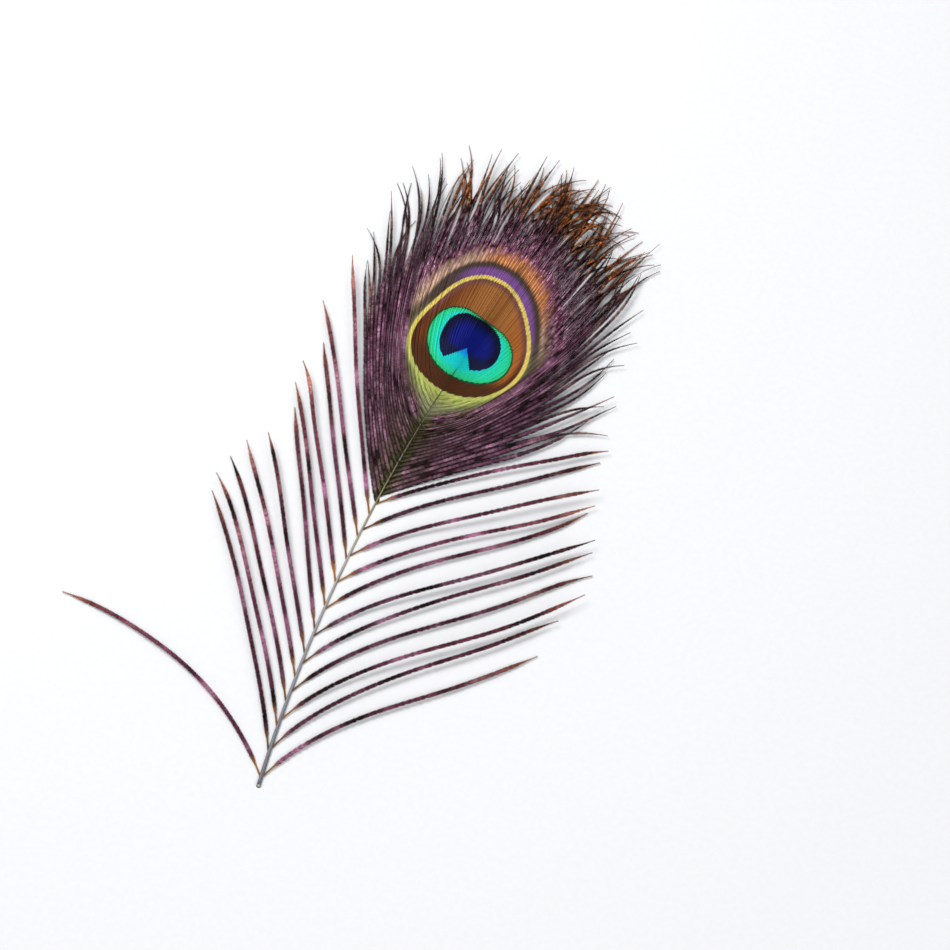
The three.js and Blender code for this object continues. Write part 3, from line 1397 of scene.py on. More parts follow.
    def surroundings(self, tree: Tree, at: EyePlace, ring: Feed) -> Feed:
        """Colour of the free barbs, with the olive wedge below the eye.

        Args:
            tree: The material's node tree.
            at: The place in the eye.
            ring: Distance outside the yellow ring.

        Returns:
            The node that gives the colour.
        """
        tip_across, tip_up = EYE.base_tip
        outward = add_node(tree, "ShaderNodeMath", {0: ring, 1: self.reach}, operation="DIVIDE")
        beside = lay_colours(tree, self.olive, (self.bark, ring, self.olive_to_bark))
        beside = self.line_barbs(tree, beside, WHOLE, self.strand_shades)
        free = lay_colours(tree, beside, (self.strand(tree, outward), ring, self.bark_to_free))
        above_tip = add_node(
            tree, "ShaderNodeMath", {0: at.upward, 1: tip_up}, operation="SUBTRACT"
        )
        aside = distance_from(tree, at.across, tip_across)
        wedge = add_node(tree, "ShaderNodeMath", {0: aside, 1: above_tip}, operation="SUBTRACT")
        olive = lay_colours(
            tree,
            self.lime,
            (self.olive, ring, self.lime_to_olive),
            (self.moss, above_tip, self.olive_to_moss),
        )
        olive = self.line_barbs(tree, olive, WHOLE, self.strand_shades)
        return lay_colours(
            tree, free, (olive, wedge, self.wedge_side), (free, at.upward, self.wedge_top)
        )

    def halo(self, tree: Tree, colour: Feed, at: EyePlace) -> Feed:
        """Lay the halo over the upper side: violet, a dark band, then orange.

        Args:
            tree: The material's node tree.
            colour: The colour below.
            at: The place in the eye.

        Returns:
            The node that gives the colour.
        """
        # The dark band is narrower on the left, and the orange narrows down the right side.
        band = outline_distance(tree, at, EYE.dark_band)
        band = shift_number(tree, band, at.angle, self.band_narrows, self.band_losses)
        outer = outline_distance(tree, at, EYE.halo)
        outer = shift_number(tree, outer, at.angle, self.halo_narrows, self.halo_losses)
        # Each barb keeps the orange to a length of its own.
        tone = add_node(tree, "ShaderNodeAttribute", attribute_name=Mark.TONE).outputs["Fac"]
        ragged = outer
        for number, depth in (
            (self.wander(tree, self.fray), self.fray_depth),
            (tone, self.fray_by_barb),
        ):
            ragged = add_node(
                tree, "ShaderNodeMath", {0: number, 1: depth, 2: ragged}, operation="MULTIPLY_ADD"
            )
        orange = lay_colours(
            tree,
            self.tan,
            (self.orange, at.across, self.tan_to_orange),
            (self.tan, at.angle, self.orange_to_tan),
        )
        orange = self.line_barbs(tree, orange, self.orange_tones, self.orange_shades)
        violet = lay_colours(tree, self.band, (self.violet, at.angle, self.band_to_violet))
        halo = lay_colours(tree, orange, (colour, ragged, self.halo_edge))
        halo = lay_colours(tree, self.band, (halo, band, self.band_outside))
        halo = lay_colours(tree, violet, (halo, band, self.band_inside))
        return lay_colours(
            tree, colour, (halo, at.angle, self.halo_left), (colour, at.angle, self.halo_right)
        )

    def disc(self, tree: Tree, colour: Feed, at: EyePlace, ring: Feed) -> Feed:
        """Lay the yellow ring and the bronze inside it.

        Args:
            tree: The material's node tree.
            colour: The colour below.
            at: The place in the eye.
            ring: Distance outside the yellow ring.

        Returns:
            The node that gives the colour.
        """
        yellow = lay_colours(tree, self.lime, (self.yellow, at.upward, self.lime_to_yellow))
        # The ring's streaks are painted highlight and shade along its barbs.
        streaks = self.wander(tree, self.dash)
        yellow = shade_colour(tree, yellow, streaks, WANDER, self.ring_shades)
        border = lay_colours(tree, self.umber, (self.plum, at.upward, self.umber_to_plum))
        bronze = lay_colours(
            tree,
            self.brown,
            (self.bronze, at.upward, self.brown_to_bronze),
            (self.copper_glow, at.across, self.bronze_to_glow),
            (self.brown, at.across, self.bronze_to_brown),
            (self.umber, at.upward, self.bronze_to_umber),
            (border, ring, self.border),
        )
        return lay_colours(
            tree, colour, (yellow, ring, self.ring_outside), (bronze, ring, self.ring_inside)
        )

    def heart(self, tree: Tree, colour: Feed, at: EyePlace, teal: Feed) -> Feed:
        """Lay the teal disc, and the navy heart with its notch.

        Args:
            tree: The material's node tree.
            colour: The colour below.
            at: The place in the eye.
            teal: Distance outside the disc.

        Returns:
            The node that gives the colour.
        """
        tip_across, tip_up = EYE.notch_tip
        navy = outline_distance(tree, at, EYE.navy)
        aside = distance_from(tree, at.across, tip_across)
        below = add_node(tree, "ShaderNodeMath", {0: tip_up, 1: at.upward}, operation="SUBTRACT")
        from_tip = add_node(
            tree,
            "ShaderNodeMath",
            {0: aside, 1: distance_from(tree, at.upward, tip_up)},
            operation="MAXIMUM",
        )
        disc = lay_colours(
            tree,
            self.cyan,
            (self.teal, navy, self.cyan_to_teal),
            (self.green, teal, self.teal_to_green),
            (self.rim, teal, self.green_to_rim),
            (self.notch, from_tip, self.notch_glow),
        )
        heart = lay_colours(
            tree,
            self.navy,
            (self.navy_edge, navy, self.navy_to_edge),
            (self.lobe, at.upward, self.navy_to_lobe),
        )
        wedge = add_node(
            tree,
            "ShaderNodeMath",
            {0: below, 1: -EYE.notch_slope, 2: aside},
            operation="MULTIPLY_ADD",
        )
        mask: Feed = 1.0
        for number, (start, end) in ((wedge, self.notch_edge), (navy, self.heart_edge)):
            part = add_node(
                tree,
                "ShaderNodeMapRange",
                {"Value": number, "From Min": start, "From Max": end},
                interpolation_type="SMOOTHSTEP",
            )
            mask = add_node(tree, "ShaderNodeMath", {0: mask, 1: part}, operation="MULTIPLY")
        return lay_colours(
            tree, colour, (disc, teal, self.disc_edge), (heart, mask, self.heart_cover)
        )


@dataclass(frozen=True)
class ShaftKeratin:
    """Polished horn of the shaft: grey, satin, with fine lengthwise streaks.

    It is blue-grey at the cut, pale in the middle and thin and olive under the eye. The streaks
    are drawn coarser than the horn's own fibres, which are too fine to be seen.

    Attributes:
        name: The material's name.
        stops: Colour from the cut end to the tip.
        streak: Colour of the streaks.
        streaked: Span of the noise in which they come in.
        grain: Width of a streak.
        stretch: The noise's fineness along the shaft, as a share of that across it.
        relief: Depth of the streaks.
        relief_strength: Share of that depth that shows.
        roughness: Breadth of the gleam.
    """

    name: str = "horn_of_the_shaft"
    stops: tuple[tuple[float, str], ...] = (
        (0.0, "#6a6c74"),
        (0.3, "#94949a"),
        (0.5, "#a9a497"),
        (0.62, "#857a55"),
        (0.75, "#57502f"),
        (1.0, "#2c2a18"),
    )
    streak: str = "#4c463c"
    streaked: Span = (0.5, 0.85)
    grain: float = 0.4
    stretch: float = 0.04
    relief: float = 0.05
    relief_strength: float = 0.3
    roughness: float = 0.34

    def material(self) -> Material:
        """Make the material.

        Returns:
            The material.
        """
        material, tree = new_material(self.name)
        along = add_node(tree, "ShaderNodeAttribute", attribute_name=Mark.ALONG).outputs["Fac"]
        ramp = add_node(tree, "ShaderNodeValToRGB", {0: along})
        set_ramp(ramp, self.stops)
        coordinates = add_node(tree, "ShaderNodeTexCoord")
        stretched = add_node(
            tree,
            "ShaderNodeMapping",
            {"Vector": coordinates.outputs["Object"], "Scale": (1.0, self.stretch, 1.0)},
        )
        noise = add_node(
            tree,
            "ShaderNodeTexNoise",
            {"Vector": stretched, "Scale": 1.0 / (self.grain * MM), "Detail": 3.0},
        )
        streaked = lay_colours(tree, ramp, (self.streak, noise, self.streaked))
        bump = add_node(
            tree,
            "ShaderNodeBump",
            {"Height": noise, "Strength": self.relief_strength, "Distance": self.relief * MM},
        )
        give_surface(
            tree, {"Base Color": streaked, "Roughness": self.roughness, "Normal": bump}
        )
        return material


@dataclass(frozen=True)
class Pith:
    """Dry foam inside the cut end: matt cream, with painted shade in its fine pits."""

    name: str = "pith_in_the_cut_end"
    base: str = "#e4dcc6"
    pit: str = "#a8987a"
    cell: float = 0.18
    pitted: Span = (0.35, 0.8)
    roughness: float = 0.9

    def material(self) -> Material:
        """Make the material.

        Returns:
            The material.
        """
        material, tree = new_material(self.name)
        coordinates = add_node(tree, "ShaderNodeTexCoord")
        cells = add_node(
            tree,
            "ShaderNodeTexVoronoi",
            {"Vector": coordinates.outputs["Object"], "Scale": 1.0 / (self.cell * MM)},
        )
        depth = cells.outputs["Distance"]
        # The darker pit colour is painted shade in the pits.
        colour = lay_colours(tree, self.base, (self.pit, depth, self.pitted))
        give_surface(tree, {"Base Color": colour, "Roughness": self.roughness})
        return material


@dataclass(frozen=True)
class FloorPaper:
    """Uncoated white paper under the feather: pale and matt, with a faint tooth."""

    name: str = "white_paper"
    base: str = "#fbfbfc"
    shade: str = "#f9f9fa"
    tooth: float = 2.0
    toothed: Span = (0.35, 0.65)
    roughness: float = 0.95

    def material(self) -> Material:
        """Make the material.

        Returns:
            The material.
        """
        material, tree = new_material(self.name)
        coordinates = add_node(tree, "ShaderNodeTexCoord")
        noise = add_node(
            tree,
            "ShaderNodeTexNoise",
            {
                "Vector": coordinates.outputs["Object"],
                "Scale": 1.0 / (self.tooth * MM),
                "Detail": 2.0,
            },
        )
        colour = lay_colours(tree, self.base, (self.shade, noise, self.toothed))
        give_surface(tree, {"Base Color": colour, "Roughness": self.roughness})
        return material


# ---------------------------------------------------------------- pieces


# The tones below this one mark barbs and coats that lie under the others, kept dark as painted
# shade between the barbs on top.
DARKEST_TOP = 0.12
SHAFT_LINE = ShaftLine()
ROWS = {
    Side.LEFT: BarbRow(
        side=Side.LEFT,
        stations=LOWER_LEFT + EYE_STATIONS,
        shaft=SHAFT_LINE,
        loose_barbs=12,
        loose_spacing=8.8,
        flank_start=106.5,
        loose_tones=(0.35, 0.9),
    ),
    Side.RIGHT: BarbRow(
        side=Side.RIGHT,
        stations=LOWER_RIGHT + EYE_STATIONS + (AXIS_STATION,),
        shaft=SHAFT_LINE,
        loose_barbs=11,
        loose_spacing=10.1,
        flank_start=109.0,
        loose_tones=(0.05, 0.65),
    ),
}


@dataclass
class Shaft:
    """The shaft: an oval horn rod on the surface, cut obliquely, with pith in the cut.

    Attributes:
        line: Its line.
        steps: Stretches along it.
        sides: Sides of its section.
        cut_lean: How far the top of the cut is moved along the shaft.
        lean_reach: Distance over which that move fades out.
        wall_share: Thickness of the horn wall, as a share of the width.
        pith_depth: How far the pith lies in the cut.
        tone: Its shade mark, which its finish doesn't read.
    """

    line: ShaftLine = SHAFT_LINE
    steps: int = 120
    sides: int = 16
    cut_lean: float = 1.2
    lean_reach: float = 5.0
    wall_share: float = 0.2
    pith_depth: float = 0.2
    tone: float = 0.5

    def build(self) -> bpy.types.Object:
        """Make the shaft and dress it.

        Returns:
            The piece.
        """
        mesh = BarbMesh(self.steps, self.sides)
        ats = [self.line.length * i / self.steps for i in range(self.steps + 1)]
        half_heights = [self.line.height(at) / 2.0 for at in ats]
        points = [
            self.line.point(at) + Vector((0.0, 0.0, high)) for at, high in zip(ats, half_heights)
        ]
        strip = BarbStrip([self.line.width(at) / 2.0 for at in ats], half_heights)
        mesh.add_strip(points, strip, self.tone)
        self.cut(mesh.shape)
        piece = mesh.finish("horn_shaft", None, [ShaftKeratin().material(), Pith().material()])
        for face in piece.data.polygons:
            face.use_smooth = len(face.vertices) == 4
        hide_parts("shaft")
        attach(piece, BODY)
        return piece

    def cut(self, shape: bmesh.types.BMesh) -> None:
        """Slant the cut end over its first few millimetres, and sink the pith into it.

        Args:
            shape: The shaft's mesh, whose end face becomes the pith.
        """
        heading = self.line.heading(0.0)
        forward = Vector((math.cos(heading), math.sin(heading), 0.0)) * MM
        start = self.line.point(0.0) * MM
        shape.faces.ensure_lookup_table()
        end_face = min(
            (face for face in shape.faces if len(face.verts) == self.sides),
            key=lambda face: face.calc_center_median().y,
        )
        height = self.line.height(0.0) * MM
        for vert in shape.verts:
            run = (vert.co - start).dot(forward) / MM**2
            fade = max(0.0, 1.0 - run / self.lean_reach)
            vert.co += forward * (self.cut_lean * fade * vert.co.z / height)
        wall = self.line.width(0.0) * self.wall_share * MM
        shape.normal_update()
        bmesh.ops.inset_region(shape, faces=[end_face], thickness=wall, use_even_offset=True)
        end_face.material_index = 1
        for vert in end_face.verts:
            vert.co += forward * self.pith_depth


@dataclass
class LooseBarb:
    """One loose barb below the eye: a thin rib with a full nap of twisted barbules.

    Attributes:
        row: The row that it stands in.
        number: Its number from the cut end.
        layers: In how many layers the barbs' tips lie, so that they can cross.
        layer_rise: Distance between two layers.
        lowest_tip: Height of the lowest one.
        sway: Greatest turn of a barb against its neighbours.
        sway_step: How that turn changes from barb to barb, in radians.
        wave: Swing of the barb's line.
        hooks: Range of its tip's turn.
        hook_start: Share of the length at which that turn starts.
        steps: Stretches along the barb.
        half_widths: Half width of the rib at the root and at the tip.
        half_heights: The same for its height.
        reach: Length of the barbules.
        nap_start: Part of the barb in which the barbules reach that length.
        nap_end: Part of it in which they shorten.
        nap_loss: How much they shorten, as a share.
    """

    row: BarbRow
    number: int
    layers: int = 3
    layer_rise: float = 1.6
    lowest_tip: float = 0.55
    sway: float = 1.2
    sway_step: float = 2.4
    wave: float = 2.5
    hooks: Span = (-14.0, 20.0)
    hook_start: float = 0.8
    steps: int = 60
    half_widths: Span = (0.30, 0.08)
    half_heights: Span = (0.22, 0.07)
    reach: float = 1.3
    nap_start: Span = (0.01, 0.07)
    nap_end: Span = (0.88, 1.0)
    nap_loss: float = 0.65

    def build(self, barbules: Tree, material: Material) -> bpy.types.Object:
        """Make the barb and dress it.

        Args:
            barbules: The node tree that grows its barbules.
            material: Its finish.

        Returns:
            The piece.
        """
        side = self.row.side
        at = self.row.first_loose_at + self.row.loose_spacing * (self.number - 1)
        dice = Random(f"{side.word} {self.number}")
        habit = Habit(
            sway=self.sway * math.sin(self.number * self.sway_step),
            wave=self.wave,
            phase=dice.random(),
            hook=dice.uniform(*self.hooks),
            hook_start=self.hook_start,
            tip_height=self.lowest_tip + self.layer_rise * ((self.number - 1) % self.layers),
            tone=dice.uniform(*self.row.loose_tones),
        )
        line = self.row.line(at, habit, self.steps)
        shares = [i / self.steps for i in range(self.steps + 1)]
        strip = BarbStrip(
            [mix_number(*self.half_widths, share) for share in shares],
            [mix_number(*self.half_heights, share) for share in shares],
        )
        mesh = BarbMesh(self.steps)
        mesh.add_strip(line, strip, habit.tone)
        mesh.add_guide(line, [self.nap(share) for share in shares], habit.tone)
        name = f"herl_{side.word}_{self.number:02d}"
        piece = mesh.finish(name, barbules, [material])
        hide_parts(f"loose_barb_{side.word}_{self.number:02d}")
        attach(piece, BODY)
        return piece

    def nap(self, share: float) -> float:
        """Length of the barbules at a share of the barb."""
        ending = 1.0 - self.nap_loss * ease(*self.nap_end, share)
        return self.reach * ease(*self.nap_start, share) * ending


@dataclass(frozen=True)
class BarbuleCoat:
    """How long one coat of barbules grows on a close barb, and how low it lies.

    Attributes:
        fullness: Length as a share of the distance to the neighbours.
        shortest: Least length.
        longest: Greatest length.
        thinning: Share of the length that is lost over the barb's outer half.
        sink: How far the coat lies below the barb.
    """

    fullness: float
    shortest: float
    longest: float
    thinning: float
    sink: float = 0.0


@dataclass(frozen=True)
class Disorder:
    """Ranges that the close barbs' habits are picked from.

    Attributes:
        sway: Turn of the whole barb.
        wave: Swing of its line.
        gather: Turn towards its wisp's middle, for each place away from it.
        hook: Turn of its tip.
        hook_start: Share of its length at which that turn starts.
        curl: The tip's turn where it curls over.
        curl_start: Where that turn starts.
        curl_bearings: Bearings from the eye's centre between which some tips curl over.
        curl_share: Share of the tips there that do.
        arch: Rise of the barb's middle.
        base_height: Height that the row's tips come down to.
        under_tip: Tip height of a barb that lies under the others.
        tip_scatter: How far the other tips lie above or below their wisp's height.
        stretch: Share of the station's length.
        under_stretch: The same for a barb that lies under the others.
        tones: Shades.
        curl_tones: Shades of the tips that curl over.
        wisp_sizes: How many barbs a wisp has.
        wisp_heights: Tip heights of the wisps.
        first_wisp: Size and height of the first one.
    """

    sway: Span = (-0.25, 0.25)
    wave: Span = (2.0, 7.0)
    gather: Span = (0.8, 2.2)
    hook: Span = (-35.0, 45.0)
    hook_start: float = 0.72
    curl: Span = (60.0, 140.0)
    curl_start: Span = (0.68, 0.8)
    curl_bearings: Span = (-9.0, 17.0)
    curl_share: float = 0.6
    arch: float = 0.7
    base_height: float = 1.4
    under_tip: float = 0.5
    tip_scatter: Span = (-0.3, 0.3)
    stretch: Span = (0.88, 1.04)
    under_stretch: Span = (0.78, 0.9)
    tones: Span = (0.3, 1.0)
    curl_tones: Span = (0.7, 1.0)
    wisp_sizes: tuple[int, ...] = (2, 3, 3, 4, 5, 6)
    wisp_heights: Span = (0.5, 3.0)
    first_wisp: tuple[int, float] = (3, 1.5)


@dataclass(frozen=True)
class ClosedVane:
    """Where the barbs close to a vane, in the eye's axes, and where they come free.

    Attributes:
        ring_part: Distance outside the yellow ring over which the vane opens.
        halo_part: Distance outside the halo over which it opens on the upper side.
        halo_left: Angles, in radians, between which the upper side starts on the left.
        halo_right: Angles between which it ends on the right.
        wedge_part: Distance outside the wedge below the eye over which the vane opens.
        wedge_top: Places along the eye between which the wedge ends.
        free_part: Distance outside the ring over which the barbs come free.
        free_share: Shares of a barb's length between which it comes free.
    """

    ring_part: Span = (3.0, 9.0)
    halo_part: Span = (0.0, 7.0)
    halo_left: Span = (-1.5, -1.0)
    halo_right: Span = (1.2, 1.7)
    wedge_part: Span = (1.0, 7.0)
    wedge_top: Span = (-14.0, -8.0)
    free_part: Span = (5.0, 34.0)
    free_share: Span = (0.25, 0.7)

    def closed(self, point: Vector, closes_below: bool) -> float:
        """How far the vane is closed at a place.

        Args:
            point: The place.
            closes_below: Whether the wedge below the eye counts.

        Returns:
            A number from 0, open, to 1.
        """
        across, upward = EYE.local(point)
        ring = EYE.ring.distance(across, upward)
        halo = EYE.halo.distance(across, upward)
        angle = math.atan2(across, upward)
        near_ring = 1.0 - ease(*self.ring_part, ring)
        on_top = ease(*self.halo_left, angle) * (1.0 - ease(*self.halo_right, angle))
        in_halo = (1.0 - ease(*self.halo_part, halo)) * on_top
        wedge = abs(across - EYE.base_tip[0]) - (upward - EYE.base_tip[1])
        below = (1.0 - ease(*self.wedge_part, wedge)) * (1.0 - ease(*self.wedge_top, upward))
        return max(near_ring, in_halo, below if closes_below else 0.0)

    def freedom(self, along: float, point: Vector) -> float:
        """How free a barb is of its neighbours: only beyond the eye, and more towards its tip.

        Args:
            along: Share of the barb's length.
            point: The place there.

        Returns:
            A number from 0, held, to 1.
        """
        ring = EYE.ring.distance(*EYE.local(point))
        return ease(*self.free_part, ring) * ease(*self.free_share, along)


@dataclass
class CloseBarbs:
    """A row of close barbs as one piece, from one place on the shaft to another.

    In the eye each barb is a flat strip as wide as its room, because barbules that hook together
    close the vane there. Away from the eye it is a thin rib with free barbules in two coats: a
    bright one above, and one below, kept dark as painted shade, that fills the gap to the next
    barb.

    Attributes:
        row: The row that the barbs stand in.
        name: The piece's name.
        node: The CAD node that it stands for.
        slot: That node's material slot; it is not used.
        start: Place of the first barb's root on the shaft.
        end: Place of the last one's.
        count: How many barbs there are.
        under_every: Every which barb lies under the others, kept dark as painted shade, or 0 for
            none.
        crowding: How much closer the last roots stand than the first, as a share.
        steps: Stretches along a barb.
        overlap: Half width of a strip in the closed vane, as a share of its room.
        overlap_more: What is added to that half width.
        least_half_width: Least half width there.
        widest_room: Greatest room that is counted.
        half_widths: Half width of the free rib at the root and at the tip.
        half_heights: Half height of the barb at the root and at the tip.
        roll: Turn of each strip about its own line, as of shingles.
        upper_coat: Bright barbules of the barbs on top.
        lower_coat: Barbules below them, kept dark as painted shade.
        under_coat: Barbules of the barbs that lie under the others, kept dark as painted shade.
        under_sink: How far those barbs lie lower.
        sink_part: Part of the barb in which they come down.
        coat_part: Part in which the lower coat does.
        root_lead: How far back in the shaft that coat starts.
        coat_start: Part in which the barbules reach their full length.
        coat_end: Part in which a coat thins.
        point_part: Part near the tip in which the barbules shorten.
        point_thinning: How much they shorten there, as a share.
        closes_below: Whether the row closes in the wedge below the eye too.
        search: How many points away a neighbour's nearest point is looked for.
        wisp_steps: Stretches of the line that says where a barb's tip comes.
        disorder: What the barbs' habits are picked from.
        vane: Where the vane is closed.
    """

    row: BarbRow
    name: str
    node: str
    slot: str
    start: float
    end: float
    count: int
    under_every: int = 0
    crowding: float = 1.5
    steps: int = 64
    overlap: float = 0.62
    overlap_more: float = 0.04
    least_half_width: float = 0.16
    widest_room: float = 2.2
    half_widths: Span = (0.20, 0.07)
    half_heights: Span = (0.10, 0.04)
    roll: float = 7.0
    upper_coat: BarbuleCoat = BarbuleCoat(0.8, 0.5, 1.2, 0.3)
    lower_coat: BarbuleCoat = BarbuleCoat(1.45, 0.5, 1.7, 0.48, 0.35)
    under_coat: BarbuleCoat = BarbuleCoat(2.0, 0.5, 1.6, 0.4)
    under_sink: float = 0.5
    sink_part: Span = (0.02, 0.1)
    coat_part: Span = (0.0, 0.05)
    root_lead: float = 1.3
    coat_start: Span = (-0.03, 0.006)
    coat_end: Span = (0.5, 0.9)
    point_part: Span = (0.86, 1.0)
    point_thinning: float = 0.65
    closes_below: bool = True
    search: int = 5
    wisp_steps: int = 8
    disorder: Disorder = Disorder()
    vane: ClosedVane = ClosedVane()

    def habits(self) -> list[tuple[float, Habit]]:
        """Root and habit of each barb, in wisps of a few that lean together.

        Returns:
            The roots' distances from the cut end, each with its barb's habit.
        """
        dice = Random(self.name)
        ranges = self.disorder
        plain = Habit()
        chosen = []
        clockwise = -self.row.side.value
        wisp_start = 0
        wisp_size, wisp_height = ranges.first_wisp
        for i in range(self.count):
            share = i / (self.count - 1)
            share *= self.crowding - (self.crowding - 1.0) * share
            under = self.under_every > 0 and i % self.under_every == 1
            at = mix_number(self.start, self.end, share)
            if i >= wisp_start + wisp_size:
                wisp_start, wisp_size = i, dice.choice(ranges.wisp_sizes)
                wisp_height = dice.uniform(*ranges.wisp_heights)
            wisp_centre = wisp_start + (wisp_size - 1) / 2.0
            tip = self.row.line(at, plain, self.wisp_steps)[-1]
            across, upward = EYE.local(tip)
            bearing = math.degrees(math.atan2(across, upward))
            first, last = ranges.curl_bearings
            curls = first < bearing < last and dice.random() < ranges.curl_share
            hook = ranges.curl if curls else ranges.hook
            stretch = ranges.under_stretch if under else ranges.stretch
            habit = Habit(
                sway=dice.uniform(*ranges.sway),
                wave=dice.uniform(*ranges.wave),
                phase=dice.random(),
                gather=(i - wisp_centre) * dice.uniform(*ranges.gather),
                hook=(clockwise if curls else 1) * dice.uniform(*hook),
                hook_start=dice.uniform(*ranges.curl_start) if curls else ranges.hook_start,
                arch=ranges.arch,
                base_height=ranges.base_height,
                tip_height=(
                    ranges.under_tip if under else wisp_height + dice.uniform(*ranges.tip_scatter)
                ),
                stretch=dice.uniform(*stretch),
                tone=self.shade(dice, under, curls),
            )
            chosen.append((at, habit))
        return chosen

    def shade(self, dice: Random, under: bool, curls: bool) -> float:
        """Pick a barb's own shade: dark, as painted shade, if it lies under the others, light if
        it curls.

        Args:
            dice: The row's dice.
            under: Whether the barb lies under the others.
            curls: Whether its tip curls over.

        Returns:
            The shade, from 0 to 1.
        """
        if under:
            return dice.uniform(0.0, DARKEST_TOP)
        return dice.uniform(*(self.disorder.curl_tones if curls else self.disorder.tones))

    def room(self, lines: list[list[Vector]], number: int) -> list[tuple[float, float]]:
        """Distances from one barb to its two neighbours, at each of its points.

        Args:
            lines: The row's lines.
            number: Which barb.

        Returns:
            The nearer and the farther distance at each point.
        """
        line = lines[number]
        neighbours = [lines[n] for n in (number - 1, number + 1) if 0 <= n < len(lines)]
        distances = []
        for i, point in enumerate(line):
            forward = (line[min(i + 1, self.steps)] - line[max(i - 1, 0)]).normalized()
            found = []
            for other in neighbours:
                near = other[max(i - self.search, 0) : i + self.search + 1]
                offsets = [candidate - point for candidate in near]
                offset = min(offsets, key=lambda v: abs(v.x * forward.x + v.y * forward.y))
                found.append(abs(offset.y * forward.x - offset.x * forward.y))
            if len(neighbours) == 1 and number > 0:
                found.append(2.0 * self.row.shaft.aside(point))
            distances.append((min(found), min(max(found), self.widest_room)))
        return distances

    def build(self, barbules: Tree, material: Material) -> bpy.types.Object:
        """Make the row and dress it.

        Args:
            barbules: The node tree that grows the free barbules.
            material: The row's finish.

        Returns:
            The piece.
        """
        mesh = BarbMesh(self.steps)
        chosen = self.habits()
        lines = [self.row.line(at, habit, self.steps, self.vane.freedom) for at, habit in chosen]
        for number, (_at, habit) in enumerate(chosen):
            self.add_barb(mesh, lines, number, habit)
        piece = mesh.finish(self.name, barbules, [material])
        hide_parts(self.node)
        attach(piece, BODY)
        LOG.info("%s: %s barbs, %s faces", self.name, self.count, len(piece.data.polygons))
        return piece

    def add_barb(
        self, mesh: BarbMesh, lines: list[list[Vector]], number: int, habit: Habit
    ) -> None:
        """Add one barb's strip, and the lines that its coats of barbules stand on.

        Args:
            mesh: The row's mesh.
            lines: The row's lines, of which this barb's is moved down if it lies under the rest.
            number: Which barb.
            habit: Its habit.
        """
        line = lines[number]
        shares = [i / self.steps for i in range(self.steps + 1)]
        room = self.room(lines, number)
        closed = [self.vane.closed(point, self.closes_below) for point in line]
        under = habit.tone < DARKEST_TOP
        if under:
            for share, point, shut in zip(shares, line, closed):
                point.z -= self.under_sink * (1.0 - shut) * ease(*self.sink_part, share)
        half_widths = []
        for share, (_near, far), shut in zip(shares, room, closed):
            wide = max(far * self.overlap + self.overlap_more, self.least_half_width)
            half_widths.append(mix_number(mix_number(*self.half_widths, share), wide, shut))
        half_heights = [mix_number(*self.half_heights, share) for share in shares]
        mesh.add_strip(line, BarbStrip(half_widths, half_heights, self.roll), habit.tone)
        if not under:
            mesh.add_guide(line, self.naps(room, closed, self.upper_coat), habit.tone)
        coat = self.under_coat if under else self.lower_coat
        low_line = [
            point - Vector((0.0, 0.0, coat.sink * ease(*self.coat_part, share)))
            for share, point in zip(shares, line)
        ]
        low_line[0] -= (low_line[1] - low_line[0]).normalized() * self.root_lead
        # The lower coat's near-black tone is painted shade between the barbs.
        low_tone = habit.tone if under else DARKEST_TOP * habit.tone
        mesh.add_guide(low_line, self.naps(room, closed, coat), low_tone)

    def naps(
        self, room: list[tuple[float, float]], closed: list[float], coat: BarbuleCoat
    ) -> list[float]:
        """Length of one coat's barbules at each point of a barb, where the vane is open.

        Args:
            room: Distances to the two neighbours at each point.
            closed: How far the vane is closed at each point.
            coat: The coat.

        Returns:
            The lengths.
        """
        lengths = []
        for i, ((near, far), shut) in enumerate(zip(room, closed)):
            share = i / self.steps
            wanted = max((near + far) / 2.0 * coat.fullness, coat.shortest)
            thinned = 1.0 - coat.thinning * ease(*self.coat_end, share)
            fade = ease(*self.coat_start, share) * thinned
            fade *= 1.0 - self.point_thinning * ease(*self.point_part, share)
            lengths.append(min(wanted, coat.longest) * fade * (1.0 - shut))
        return lengths


# ---------------------------------------------------------------- stage


@dataclass(frozen=True)
class SoftLight:
    """A square soft light that looks at the feather.

    Attributes:
        name: Its name.
        place: Where it hangs, in metres.
        size: Its side, in metres.
        power: Its power, in watts.
    """

    name: str
    place: tuple[float, float, float]
    size: float
    power: float

    def build(self) -> None:
        """Hang the light."""
        data = bpy.data.lights.new(self.name, "AREA")
        data.size = self.size
        data.energy = self.power
        lamp = bpy.data.objects.new(self.name, data)
        lamp.location = self.place
        lamp.rotation_euler = (-Vector(self.place)).to_track_quat("-Z", "Y").to_euler()
        bpy.context.scene.collection.objects.link(lamp)


